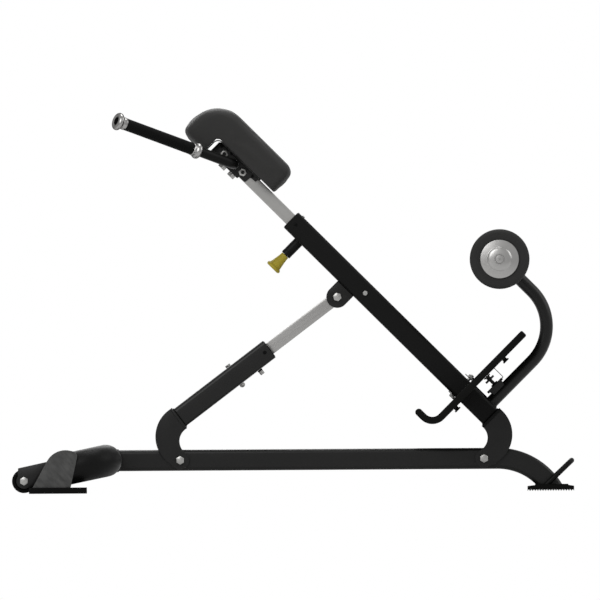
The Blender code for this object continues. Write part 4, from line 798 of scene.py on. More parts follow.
@dataclass(frozen=True)
class SurfaceFinish:
    """One finish: its colour, gloss and metal, and the scale of its grain and mottling."""

    finish: Finish
    colour: Point
    rough: Flat
    metallic: float = 0.0
    grain_scale: float = 900.0
    mottle_scale: float = 14.0
    spread: float = 0.10
    relief: float = 0.10
    depth: float = 0.0001
    stretch: Point = (1.0, 1.0, 1.0)
    turn: float = 0.0
    specular: float = 0.5
    edge_tint: float = 1.0
    creases: float = 0.0

    def build(self, grain: bpy.types.NodeTree) -> bpy.types.Material:
        """Make the material.

        Args:
            grain: The shared grain group.

        Returns:
            The material.
        """
        material = bpy.data.materials.new(self.finish.value)
        material.use_nodes = True
        recipe = Recipe(material.node_tree)
        place = recipe.add('ShaderNodeTexCoord').outputs["Object"]
        mapping = recipe.add('ShaderNodeMapping', Vector=place, Rotation=(0.0, self.turn, 0.0))
        stretch = recipe.add('ShaderNodeVectorMath', operation='MULTIPLY')
        stretch.inputs[1].default_value = self.stretch
        recipe.join(mapping.outputs["Vector"], stretch.inputs[0])
        vector = stretch.outputs["Vector"]
        surface = recipe.add('ShaderNodeGroup', node_tree=grain, Vector=vector, Grain_Scale=self.grain_scale,
                             Mottle_Scale=self.mottle_scale, Spread=self.spread).outputs
        colour = recipe.add('ShaderNodeMix', data_type='RGBA', blend_type='MULTIPLY', Factor=1.0,
                            A=(*self.colour, 1.0), B=surface["Tone"])
        rough = recipe.add('ShaderNodeMapRange', Value=surface["Gloss"], From_Min=0.35, From_Max=0.9,
                           To_Min=self.rough[0], To_Max=self.rough[1])
        height = surface["Height"]
        if self.creases:
            height = self.add_creases(recipe, vector, height)
        bump = recipe.add('ShaderNodeBump', Strength=self.relief, Distance=self.depth, Height=height)
        recipe.fill(material.node_tree.nodes["Principled BSDF"], Metallic=self.metallic,
                    Specular_IOR_Level=self.specular, Specular_Tint=(*[self.edge_tint] * 3, 1.0),
                    Base_Color=colour.outputs["Result"], Roughness=rough.outputs["Result"],
                    Normal=bump.outputs["Normal"])
        return material

    def add_creases(self, recipe: Recipe, vector: Socket,
                    height: Socket) -> Socket:
        """Lay the cells of a leather-like grain over the fine grain.

        Args:
            recipe: The material's node tree.
            vector: The surface's coordinates.
            height: The fine grain's height.

        Returns:
            The height of both together.
        """
        cells = recipe.add('ShaderNodeTexVoronoi', feature='DISTANCE_TO_EDGE', Scale=self.creases,
                           Vector=vector)
        groove = recipe.add('ShaderNodeMapRange', Value=cells.outputs["Distance"], From_Max=0.16)
        return recipe.math('MULTIPLY_ADD', height, 0.6, groove.outputs["Result"])


FINISHES = (
    SurfaceFinish(Finish.PAINT, (0.0062, 0.0062, 0.0060), (0.30, 0.38), grain_scale=1100.0, mottle_scale=9.0,
                  spread=0.08, relief=0.015, specular=0.15),
    # The same black paint, darker and less glossy: painted shade for the tubes, handle, housing and crossbar
    # that take it.
    SurfaceFinish(Finish.SHADED_PAINT, (0.0030, 0.0030, 0.0029), (0.42, 0.50), grain_scale=1100.0,
                  mottle_scale=9.0, spread=0.08, relief=0.015, specular=0.07),
    SurfaceFinish(Finish.PLATE_PAINT, (0.0042, 0.0042, 0.0040), (0.44, 0.56), grain_scale=1300.0,
                  mottle_scale=16.0, spread=0.10, relief=0.08, specular=0.03),
    SurfaceFinish(Finish.SLIDE_STEEL, (0.255, 0.252, 0.245), (0.28, 0.34), metallic=1.0, edge_tint=0.5,
                  grain_scale=1800.0, mottle_scale=150.0, spread=0.03, relief=0.025,
                  stretch=(0.015, 1.0, 1.0), turn=-radians(45)),
    SurfaceFinish(Finish.ROD_STEEL, (0.224, 0.221, 0.216), (0.31, 0.33), metallic=1.0, edge_tint=0.4,
                  grain_scale=1800.0, mottle_scale=150.0, spread=0.02, relief=0.004,
                  stretch=(0.015, 1.0, 1.0), turn=radians(37.12)),
    SurfaceFinish(Finish.TURNED_STEEL, (0.250, 0.247, 0.242), (0.30, 0.36), metallic=1.0, edge_tint=0.4,
                  grain_scale=1500.0, mottle_scale=18.0, spread=0.03, relief=0.02),
    SurfaceFinish(Finish.BRIGHT_STEEL, (0.215, 0.212, 0.208), (0.22, 0.28), metallic=1.0, edge_tint=0.15,
                  grain_scale=1500.0, mottle_scale=18.0, spread=0.03, relief=0.02),
    SurfaceFinish(Finish.ZINC, (0.245, 0.243, 0.236), (0.28, 0.38), metallic=1.0, edge_tint=0.4,
                  grain_scale=1300.0, mottle_scale=60.0, spread=0.06, relief=0.03),
    SurfaceFinish(Finish.VINYL, (0.0235, 0.0233, 0.0228), (0.54, 0.66), mottle_scale=7.0, spread=0.06,
                  relief=0.12, depth=0.0002, creases=520.0, specular=0.06),
    SurfaceFinish(Finish.RUBBER, (0.0034, 0.0034, 0.0033), (0.62, 0.78), grain_scale=1400.0,
                  mottle_scale=20.0, spread=0.12, relief=0.10, depth=0.0002, specular=0.03),
    SurfaceFinish(Finish.GRIP, (0.0034, 0.0034, 0.0033), (0.50, 0.62), grain_scale=1400.0, mottle_scale=30.0,
                  spread=0.10, relief=0.08, specular=0.03),
    SurfaceFinish(Finish.FOAM, (0.0205, 0.0205, 0.0202), (0.58, 0.70), grain_scale=1000.0, mottle_scale=16.0,
                  spread=0.08, relief=0.14, depth=0.0002, specular=0.06),
    SurfaceFinish(Finish.BOOT, (0.052, 0.052, 0.051), (0.60, 0.78), grain_scale=420.0, mottle_scale=120.0,
                  spread=0.26, relief=0.24, depth=0.0003, stretch=(1.0, 1.0, 0.35), turn=radians(40),
                  specular=0.07),
    SurfaceFinish(Finish.GUIDE, (0.0040, 0.0040, 0.0040), (0.46, 0.58), relief=0.08, depth=0.0002,
                  specular=0.03),
    SurfaceFinish(Finish.KNOB, (0.275, 0.222, 0.026), (0.38, 0.50), grain_scale=1200.0, mottle_scale=40.0,
                  spread=0.06, relief=0.08, specular=0.08),
)


@dataclass
class Shop:
    """Gives each finished piece its finish and its body, and reports it."""

    finishes: dict[Finish, bpy.types.Material] = field(default_factory=dict)

    def mix_finishes(self) -> None:
        """Make every material."""
        grain = GrainGroup().build()
        for recipe in FINISHES:
            self.finishes[recipe.finish] = recipe.build(grain)

    def fit(self, piece: Piece, name: str, finish: Finish, body: Body, frame: Matrix = FLOOR,
            smooth: float = 35.0) -> Piece:
        """Bring a piece into the bench's frame and hand it over.

        Args:
            piece: The piece, in its working frame.
            name: Its name.
            finish: Its finish.
            body: The body that it rides on.
            frame: Its working frame.
            smooth: The greatest angle that is shaded smooth, in degrees.

        Returns:
            The piece.
        """
        piece.name = name
        piece.data.name = name
        move_to(piece, frame)
        take_up(piece)
        bpy.ops.object.shade_smooth_by_angle(angle=radians(smooth))
        piece.data.materials.clear()
        piece.data.materials.append(self.finishes[finish])
        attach(piece, body.value)
        LOG.info("%s: %d faces, %s, on %s", name, len(piece.data.polygons), finish.value, body.value)
        put_down()
        return piece

    def form(self, piece: Piece, node: str, finish: Finish, body: Body, frame: Matrix = FLOOR,
             smooth: float = 35.0) -> Piece:
        """Hand over a piece in place of a node of the frame.

        Args:
            piece: The piece, in its working frame.
            node: The node that it replaces, which also gives its name.
            finish: Its finish.
            body: The body that it rides on.
            frame: Its working frame.
            smooth: The greatest angle that is shaded smooth, in degrees.

        Returns:
            The piece.
        """
        self.fit(piece, f"{node}_formed", finish, body, frame, smooth)
        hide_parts(node)
        return piece

    def fit_pair(self, model: Piece, stem: str, finish: Finish, body: Body | Mapping[Side, Body],
                 places: Mapping[Side, Matrix], smooth: float = 35.0) -> list[Piece]:
        """Hand over a copy of a model on each side, in place of the frame's pair of nodes.

        Args:
            model: The model, which is used up.
            stem: The nodes' name without the side.
            finish: The finish of both.
            body: The body that both ride on, or one for each side.
            places: The working frame of each side.
            smooth: The greatest angle that is shaded smooth, in degrees.

        Returns:
            Both pieces.
        """
        pieces = []
        for side, place in places.items():
            carrier = body if isinstance(body, Body) else body[side]
            pieces.append(self.form(copy_of(model), f"{stem}_{side.value}", finish, carrier, place, smooth))
        bpy.data.objects.remove(model)
        return pieces

    def fit_copies(self, model: Piece, finish: Finish, body: Body,
                   places: Mapping[str, Matrix]) -> None:
        """Hand over a copy of a small model at each named place.

        Args:
            model: The model, which is used up.
            finish: The finish of all.
            body: The body that all ride on.
            places: The working frame of each copy by its name.
        """
        for name, place in places.items():
            self.fit(copy_of(model), name, finish, body, place)
        bpy.data.objects.remove(model)

    def fit_cross_bolt(self, size: BoltSize, half: float, node: str, body: Body, frame: Matrix,
                       spot: Flat) -> None:
        """Put a bolt across the bench, with its head on the near side.

        Args:
            size: The bolt's size.
            half: Half of what it clamps.
            node: The node that it replaces.
            body: The body that it rides on.
            frame: The working frame.
            spot: X and Z of the bolt in that frame.
        """
        place = frame @ across(-1, (spot[0], -half, spot[1]))
        self.form(HexBolt(size, 2 * half).build(), node, Finish.ZINC, body, place)

    def dress_nodes(self, nodes: dict[str, Piece], finish_of: dict[str, Finish]) -> None:
        """Give the frame's own nodes their finishes.

        Args:
            nodes: The frame's objects by node name.
            finish_of: The finish of each node that stays.
        """
        for name, finish in finish_of.items():
            nodes[name].data.materials.clear()
            nodes[name].data.materials.append(self.finishes[finish])
            LOG.info("%s: kept from the frame, %s", name, finish.value)


# Fasteners


@dataclass(frozen=True)
class BoltSize:
    """A standard hex bolt with its nut."""

    shank: float
    flats: float
    head: float
    nut: float
    pitch: float


M12 = BoltSize(0.0060, 0.0178, 0.0075, 0.0100, 0.00175)
M8 = BoltSize(0.0040, 0.013, 0.0055, 0.0065, 0.00125)
NARROW_M8 = BoltSize(0.0040, 0.0104, 0.0048, 0.0060, 0.00125)


@dataclass(frozen=True)
class HexBolt:
    """A hex bolt along Z: its head rests at 0 and its nut at -grip."""

    size: BoltSize
    grip: float
    tip: float = 0.0025

    def hexagon(self, height: float) -> Piece:
        """Model a hexagon with the round chamfer of a real bolt head, standing on the XY plane.

        Args:
            height: The hexagon's height.

        Returns:
            The hexagon.
        """
        corner, flat = self.size.flats / sqrt(3), self.size.flats / 2 * 0.94
        put_down()
        bpy.ops.mesh.primitive_cylinder_add(vertices=6, radius=corner, depth=height,
                                            location=(0, 0, height / 2))
        piece = bpy.context.object
        bake_place(piece)
        shoulder = height - (corner - flat) * 0.62 - 0.0003
        envelope = lathe([(0.0, -0.001), (corner * 1.05, -0.001), (corner * 1.05, shoulder), (flat, height),
                          (0.0, height)], 48)
        combine(piece, envelope, 'INTERSECT')
        return piece

    def build(self) -> Piece:
        """Model the whole bolt: head, shank, nut and threaded tip.

        Returns:
            The bolt.
        """
        size = self.size
        head = self.hexagon(size.head)
        nut = self.hexagon(size.nut)
        move_to(nut, upside_down((0, 0, -self.grip)))
        end = -self.grip - size.nut - self.tip
        thread: list[Flat] = [(0.0, 0.001), (size.shank, 0.001), (size.shank, -self.grip - size.nut + 0.001)]
        turns = int((self.tip - 0.0008) / (size.pitch / 2)) + 1
        for i in range(turns):
            level = -self.grip - size.nut - i * size.pitch / 2
            thread.append((size.shank - (0.0006 if i % 2 else 0.0), level))
        thread += [(size.shank - 0.0008, end), (0.0, end)]
        return merge_pieces([head, nut, lathe(thread, 24)])


# Sub-assemblies


@dataclass
class BaseTube:
    """The flat-sided tube along the floor, with its pivot bolts."""

    pipe_radius: float = 0.0380
    bend_x: float = 0.4850
    bend_radius: float = 0.1530
    bend_angle: float = radians(64)
    end_height: float = 0.0161

    def build(self, shop: Shop) -> None:
        """Model the tube, its weld and its bolts."""
        start = REAR_X + self.pipe_radius * 0.62
        centre = (self.bend_x, 0.0, PIVOT_HEIGHT - self.bend_radius)
        tube = box_tube(TUBE, (start, 0.0, PIVOT_HEIGHT), [
            Straight((self.bend_x - start, 0.0, 0.0)), Bend(centre, (0.0, 1.0, 0.0), self.bend_angle, 24)])
        cut_below(tube, self.end_height, fill=False)
        shop.form(tube, "base_tube", Finish.PAINT, Body.BASE)
        line = [(REAR_X + sqrt(self.pipe_radius ** 2 - (z - PIVOT_HEIGHT) ** 2), y, z)
                for _, y, z in ring_points(0.0, PIVOT_HEIGHT)]
        shop.fit(bead(line), "base_tube_weld", Finish.PAINT, Body.BASE)
        for node, x in (("tilt_bolt", TILT_X), ("strut_bolt", STRUT_X)):
            shop.fit_cross_bolt(M12, END_HALF_WIDTH + SEAT, node, Body.BASE, FLOOR, (x, PIVOT_HEIGHT))


@dataclass
class RearEnd:
    """The bent rear pipe with a boot, a tread pad, a fork and a wheel at each end."""

    radius: float = 0.0380
    wall: float = 0.003
    half_track: float = 0.290
    bend_radius: float = 0.062
    leg: float = 0.0568
    boot_width: float = 0.084
    boot_corners: tuple[tuple[float, float, float], ...] = (
        (-0.6195, 0.0105, 0.0), (-0.5281, 0.0105, 0.0), (-0.5088, 0.0970, 0.013), (-0.5643, 0.1114, 0.050))
    pad_size: Flat = (0.1375, 0.094)
    pad_corner: float = 0.012
    pad_height: float = 0.0146
    pad_x: float = -0.5573
    wheel: Flat = (-0.6378, 0.0303)
    wheel_radius: float = 0.0283
    wheel_width: float = 0.024
    fork_cheek: float = 0.005
    fork_lug: float = 0.018
    fork_back: tuple[Flat, ...] = ((-0.6516, 0.0610), (-0.5852, 0.0755))
    side_gap: float = 0.0005

    def build(self, shop: Shop) -> None:
        """Model the pipe and both of its ends."""
        inner = self.half_track - self.bend_radius
        leg_end, up = self.bend_radius + self.leg, (0.0, 0.0, 1.0)
        bar = pipe(self.radius, (-leg_end, -self.half_track, 0.0), [
            Straight((self.leg, 0.0, 0.0)), Bend((-self.bend_radius, -inner, 0.0), up, pi / 2, 20),
            Straight((0.0, 2 * inner, 0.0)), Bend((-self.bend_radius, inner, 0.0), up, pi / 2, 20),
            Straight((-self.leg, 0.0, 0.0))], self.wall, 56)
        shop.form(bar, "rear_crossbar", Finish.SHADED_PAINT, Body.BASE, REAR)
        shifts = {side: aside(side, self.half_track) for side in Side}
        shop.fit_pair(self.model_boot(), "rear_boot", Finish.BOOT, Body.BASE, shifts)
        shop.fit_pair(self.model_pad(), "rear_foot", Finish.RUBBER, Body.BASE, shifts)
        shop.fit_pair(self.model_fork(leg_end), "wheel_fork", Finish.PAINT, Body.BASE, shifts)
        x, z = self.wheel
        hubs = {side: across(side.sign, (x, side.sign * self.half_track, z)) for side in Side}
        wheels = {Side.NEAR: Body.WHEEL_NEAR, Side.FAR: Body.WHEEL_FAR}
        shop.fit_pair(self.model_wheel(), "wheel", Finish.RUBBER, wheels, hubs)
        half = self.wheel_width / 2 + self.side_gap + self.fork_cheek + SEAT
        heads = {side: across(side.sign, (x, side.sign * (self.half_track + half), z)) for side in Side}
        shop.fit_pair(HexBolt(M12, 2 * half).build(), "wheel_bolt", Finish.ZINC, Body.BASE, heads)

    def model_boot(self) -> Piece:
        """Model the moulded boot over the pipe's end."""
        boot = plate(rounded(self.boot_corners, 10), -self.boot_width / 2, self.boot_width / 2)
        round_edges(boot, 0.0022, 3, 50)
        cut_below(boot, self.pad_height)
        combine(boot, cross_rod(self.wheel_radius + 0.0015, self.wheel, self.wheel_width / 2 + 0.002, 48))
        start, reach = (REAR_X, 0.0, PIVOT_HEIGHT), 0.3
        end = (start[0] - reach * cos(REAR_SLOPE), 0.0, start[2] - reach * sin(REAR_SLOPE))
        combine(boot, rod(self.radius + 0.0002, start, end, 48))
        return boot

    def model_pad(self) -> Piece:
        """Model the rubber pad under the boot, with the notch for the wheel."""
        pad = slab(self.pad_size, self.pad_corner, self.pad_height, 8)
        move_to(pad, Matrix.Translation((self.pad_x, 0.0, 0.0)))
        combine(pad, cross_rod(self.wheel_radius + 0.002, self.wheel, self.wheel_width / 2 + 0.002))
        round_edges(pad, 0.0018, 3, 60)
        return pad

    def model_fork(self, leg_end: float) -> Piece:
        """Model the two-cheeked fork that holds a wheel.

        Args:
            leg_end: Distance from the pipe's corner to its end.

        Returns:
            The fork.
        """
        low = REAR @ Vector((-leg_end - SEAT, 0.0, -0.020))
        high = REAR @ Vector((-leg_end - SEAT, 0.0, 0.020))
        lug = arc(self.wheel, self.fork_lug, radians(295), radians(145), 24)
        outline = [(low.x, low.z), *lug, *self.fork_back, (high.x, high.z)]
        inner = self.wheel_width / 2 + self.side_gap
        fork = plate(outline, -inner - self.fork_cheek, inner + self.fork_cheek)
        root = REAR @ Vector((-leg_end - 0.0063, 0.0, 0.0))
        combine(fork, block((root.x - 0.15, root.x), (-0.1, 0.15), inner))
        round_edges(fork, 0.0009, 2, 60)
        return fork

    def model_wheel(self) -> Piece:
        """Model the solid tyre with its dished face and grooved tread."""
        half, radius, shoulder = self.wheel_width / 2, self.wheel_radius, 0.0045
        rim = radius - shoulder
        tread: list[Flat] = arc((rim, -half + shoulder), shoulder, -pi / 2, 0.0, 5)
        tread += [(radius, -0.0030), (radius - 0.0010, -0.0022), (radius - 0.0010, 0.0022), (radius, 0.0030)]
        tread += arc((rim, half - shoulder), shoulder, 0.0, pi / 2, 5)
        dish = ((BOLT_HOLE, 0.0), (BOLT_HOLE + 0.0055, 0.0), (BOLT_HOLE + 0.0065, 0.003),
                (rim - 0.0040, 0.003), (rim - 0.0028, 0.0006), (rim - 0.0016, 0.0))
        lower = [(out, -half + deep) for out, deep in dish]
        upper = [(out, half - deep) for out, deep in reversed(dish)]
        return lathe([*lower, *tread, *upper], 56, closed=True)


@dataclass
class FrontFoot:
    """The toothed rubber foot, the steel plate on it and the lift handle."""

    start: float = 0.5556
    length: float = 0.1105
    width: float = 0.130
    height: float = 0.0136
    end_height: float = 0.0115
    corner: float = 0.0014
    teeth: int = 18
    tooth: float = 0.0030
    flat: float = 0.0012
    plate_x: float = 0.6130
    plate_size: Flat = (0.079, 0.124)
    plate_height: float = 0.0025
    rod_radius: float = 0.0063
    rod_half_width: float = 0.0515
    rod_bend: float = 0.018
    rod_leg: float = 0.090

    def build(self, shop: Shop) -> None:
        """Model the foot, its plate and the handle."""
        shop.form(self.model_foot(), "front_foot", Finish.RUBBER, Body.BASE)
        sheet = slab(self.plate_size, 0.010, self.plate_height, 8)
        move_to(sheet, Matrix.Translation((self.plate_x, 0.0, self.height)))
        round_edges(sheet, 0.0007, 2, 60)
        shop.form(sheet, "front_end_plate", Finish.PLATE_PAINT, Body.BASE)
        shop.form(self.model_handle(), "lift_handle", Finish.SHADED_PAINT, Body.BASE)

    def model_foot(self) -> Piece:
        """Model the foot: a crowned top over a row of teeth."""
        pitch, flat = self.length / self.teeth, self.flat / 2
        outline: list[Flat] = [(0.0, 0.0), (flat, 0.0)]
        for i in range(self.teeth):
            valley, tooth = (i + 0.5) * pitch, (i + 1) * pitch
            outline += [(valley - flat, self.tooth), (valley + flat, self.tooth), (tooth - flat, 0.0),
                        (tooth + flat, 0.0)]
        outline[-1] = (self.length, 0.0)
        low = self.plate_x - self.plate_size[0] / 2 - self.start
        outline += rounded([(self.length, self.tooth, 0.0), (self.length, self.end_height, self.corner),
                            (low + self.plate_size[0], self.height, 0.0), (low, self.height, 0.0),
                            (0.0, self.end_height, self.corner), (0.0, self.tooth, 0.0)], 5)
        foot = plate([(self.start + u, v) for u, v in outline], -self.width / 2, self.width / 2)
        round_edges(foot, 0.0004, 2, 55)
        return foot

    def model_handle(self) -> Piece:
        """Model the bent rod, cut off at the plate that it stands on."""
        run = self.rod_half_width - self.rod_bend
        straight = self.rod_leg - self.rod_bend
        handle = pipe(self.rod_radius, (-self.rod_leg, -self.rod_half_width, 0.0), [
            Straight((straight, 0.0, 0.0)), Bend((-self.rod_bend, -run, 0.0), (0.0, 0.0, 1.0), pi / 2, 12),
            Straight((0.0, 2 * run, 0.0)), Bend((-self.rod_bend, run, 0.0), (0.0, 0.0, 1.0), pi / 2, 12),
            Straight((-straight, 0.0, 0.0))], 0.0, 24)
        move_to(handle, LIFT)
        cut_below(handle, self.height + self.plate_height)
        return handle


@dataclass
class PivotBrackets:
    """A pair of C plates and the end plate that carry a tube on its pivot bolt."""

    prefix: str
    frame: Matrix
    body: Body
    sense: int
    foot: float
    rise: float
    thickness: float = 0.008
    lip: float = 0.0051
    straight: float = 0.0045
    outer_radius: float = 0.078
    lug: float = 0.0215
    middle_y: float = 0.0445

    def outline(self) -> list[Flat]:
        """Give the side outline of a plate, from the pivot bolt.

        Returns:
            The outline's points, along the tube and square to it.
        """
        start = self.foot - END_PLATE
        half = TUBE.depth / 2 + self.lip
        outer = (start - self.straight, self.rise + half - self.outer_radius)
        tangent = atan2(-outer[1], -outer[0]) + 2 * pi - acos((self.outer_radius - self.lug) / hypot(*outer))
        inner_top = self.rise - half
        inner_radius = (start ** 2 + inner_top ** 2 - self.lug ** 2) / (2 * (inner_top + self.lug))
        inner = (start, inner_top - inner_radius)
        neck = atan2(inner[1], inner[0])
        line = [(start, self.rise + half), *arc(outer, self.outer_radius, pi / 2, tangent, 40)]
        line += arc((0.0, 0.0), self.lug, tangent, 2 * pi + neck, 32)
        line += arc(inner, inner_radius, pi + neck, pi / 2, 26)[1:]
        return [(self.sense * u, v) for u, v in line]

    def build(self, shop: Shop) -> None:
        """Model the two plates."""
        model = plate(self.outline(), -self.thickness / 2, self.thickness / 2)
        combine(model, cross_rod(BOLT_HOLE, (0.0, 0.0), 0.02))
        round_edges(model, 0.0009, 3, 60)
        shop.fit_pair(model, f"{self.prefix}_bracket", Finish.PAINT, self.body,
                      {side: self.frame @ aside(side, self.middle_y) for side in Side})


@dataclass
class MainTube:
    """The tilted main tube with its end plate, guide, clevis and cross bolts."""

    foot: float = 0.0583
    length: float = 0.6640
    clevis_down: float = 0.2058
    clevis_drop: float = 0.0529
    clevis_radius: float = 0.026
    clevis_half_width: float = 0.0315
    clevis_gap: float = 0.0235
    stop_down: float = 0.2467
    screw_down: float = 0.0154

    def build(self, shop: Shop) -> None:
        """Model the tube and what is fixed to it."""
        tube = capped_tube(self.foot, self.length, FRAME_RISE, -1)
        shop.form(tube, "main_tube", Finish.SHADED_PAINT, Body.FRAME, TILT)
        weld = bead(ring_points(-self.foot - 0.001, FRAME_RISE), 0.0018)
        shop.fit(weld, "main_tube_weld", Finish.PLATE_PAINT, Body.FRAME, TILT)
        guide = model_guide(-1, FRAME_TOP, FRAME_RISE, SLIDE)
        shop.form(guide, "slide_guide", Finish.GUIDE, Body.FRAME, TILT)
        shop.form(self.model_clevis(), "clevis", Finish.PAINT, Body.FRAME, TILT)
        shop.fit_cross_bolt(M12, self.clevis_half_width + SEAT, "clevis_bolt", Body.FRAME, TILT,
                            up_tube(-self.clevis_down, -self.clevis_drop))
        shop.fit_cross_bolt(NARROW_M8, TUBE.width / 2 + SEAT, "stop_screw", Body.FRAME, TILT,
                            up_tube(-self.stop_down, 0.0))
        self.fit_guide_screws(shop)

    def model_clevis(self) -> Piece:
        """Model the two-lugged clevis under the tube."""
        x, z = up_tube(-self.clevis_down, -self.clevis_drop)
        top = FRAME_RISE - TUBE.depth / 2
        outline = [(x - self.clevis_radius, top), *arc((x, z), self.clevis_radius, pi, 2 * pi, 36),
                   (x + self.clevis_radius, top)]
        clevis = plate(outline, -self.clevis_half_width, self.clevis_half_width)
        combine(clevis, block((x - 0.06, x + 0.06), (z - 0.06, top - 0.004), self.clevis_gap))
        combine(clevis, cross_rod(BOLT_HOLE, (x, z), 0.05))
        round_edges(clevis, 0.0009, 3, 60)
        return clevis

    def fit_guide_screws(self, shop: Shop) -> None:
        """Model the small dark screws that hold the guide in the tube's mouth."""
        head = lathe([(0.0, 0.0014), (0.0012, 0.0014), (0.0014, 0.0006), (0.0016, 0.0014), (0.0036, 0.0010),
                      (0.0044, 0.0002), (0.0044, -0.0006), (0.0, -0.0006)], 28)
        x, wall = -(FRAME_TOP - self.screw_down), TUBE.width / 2 + 0.0005
        shop.fit_copies(head, Finish.GUIDE, Body.FRAME, {
            f"guide_screw_{side.value}": TILT @ across(side.sign, (x, side.sign * wall, FRAME_RISE))
            for side in Side})
        button = lathe([(0.0, -0.0005), (0.0034, -0.0005), (0.0034, 0.0022), (0.0028, 0.0028),
                        (0.0014, 0.0028), (0.0012, 0.0018), (0.0, 0.0018)], 28)
        shop.fit(button, "guide_screw_top", Finish.ZINC, Body.FRAME,
                 TILT @ Matrix.Translation((x, 0.0, FRAME_RISE + TUBE.depth / 2)))


def model_guide(sense: int, end: float, rise: float, bar: BoxSection) -> Piece:
    """Model the plastic guide in a tube's mouth.

    Args:
        sense: Which way the tube points along X.
        end: Distance of the tube's mouth from the frame's origin.
        rise: Z of the tube's middle line.
        bar: Section of the bar that slides in it.

    Returns:
        The guide.
    """
    flange = box_tube(BoxSection(0.0455, 0.0755, 0.009), (sense * (end + SEAT), 0.0, rise),
                      [Straight((sense * 0.0010, 0.0, 0.0))])
    round_edges(flange, 0.0004, 2, 60)
    liner = box_tube(BoxSection(0.0434, 0.0734, 0.007), (sense * (end - 0.060), 0.0, rise),
                     [Straight((sense * 0.0603, 0.0, 0.0))])
    combine(flange, liner, 'UNION')
    opening = BoxSection(bar.depth + 0.0006, bar.width + 0.0006, bar.corner + SEAT)
    bore = box_tube(opening, (sense * (end - 0.08), 0.0, rise), [Straight((sense * 0.12, 0.0, 0.0))])
    combine(flange, bore)
    return flange


@dataclass
class PullPin:
    """The spring pin's housing and its trumpet-shaped knob."""

    down: float = 0.0487
    housing_radius: float = 0.0124
    housing_length: float = 0.0432
    knob_length: float = 0.0442
    neck: float = 0.0098
    mouth: float = 0.0108
    rim_radius: float = 0.0190
    rim: float = 0.0045
    knob_side: tuple[Flat, ...] = ((0.02, 0.0), (0.15, 0.10), (0.30, 0.28), (0.42, 0.46), (0.54, 0.66),
                                   (0.64, 0.84), (0.72, 0.98), (0.765, 1.04), (0.785, 1.15))

    def build(self, shop: Shop) -> None:
        """Model the housing and the knob."""
        place = TILT @ Matrix.Translation((-(FRAME_TOP - self.down), 0.0, 0.0))
        top, outside = FRAME_RISE - TUBE.depth / 2, self.housing_radius
        low = top - SEAT - self.housing_length
        housing = lathe([(outside, top), (outside, low + 0.012), (outside - 0.0004, low + 0.0116),
                         (outside - 0.0004, low + 0.0108), (outside, low + 0.0104), (outside, low + 0.001),
                         (outside - 0.001, low), (self.mouth, low), (self.mouth, low + 0.0065),
                         (0.0043, low + 0.0065), (0.0043, low + 0.0095), (0.0070, low + 0.0095),
                         (0.0070, top)], 48, closed=True)
        shop.form(housing, "pin_housing", Finish.SHADED_PAINT, Body.FRAME, place)
        shop.form(self.model_knob(low - SEAT), "pull_knob", Finish.KNOB, Body.PIN, place)

    def model_knob(self, top: float) -> Piece:
        """Model the trumpet-shaped knob.

        Args:
            top: Z of its upper end.

        Returns:
            The knob.
        """
        low = top - self.knob_length
        flare = self.rim_radius - self.rim - self.neck
        side = [(self.neck + flare * rise, top - self.knob_length * share)
                for share, rise in self.knob_side]
        rim = [(self.rim_radius - self.rim + self.rim * cos(turn), low + self.rim + self.rim * sin(turn))
               for turn in (1.22, 0.87, 0.52, 0.17, -0.17, -0.52, -0.87, -1.22, -pi / 2)]
        return lathe([(0.0, top - 0.0243), (0.0043, top - 0.0243), (0.0043, top), (self.neck - 0.0008, top),
                      *side, *rim, (0.006, low), (0.004, low + 0.0008), (0.0, low + 0.0008)], 56)


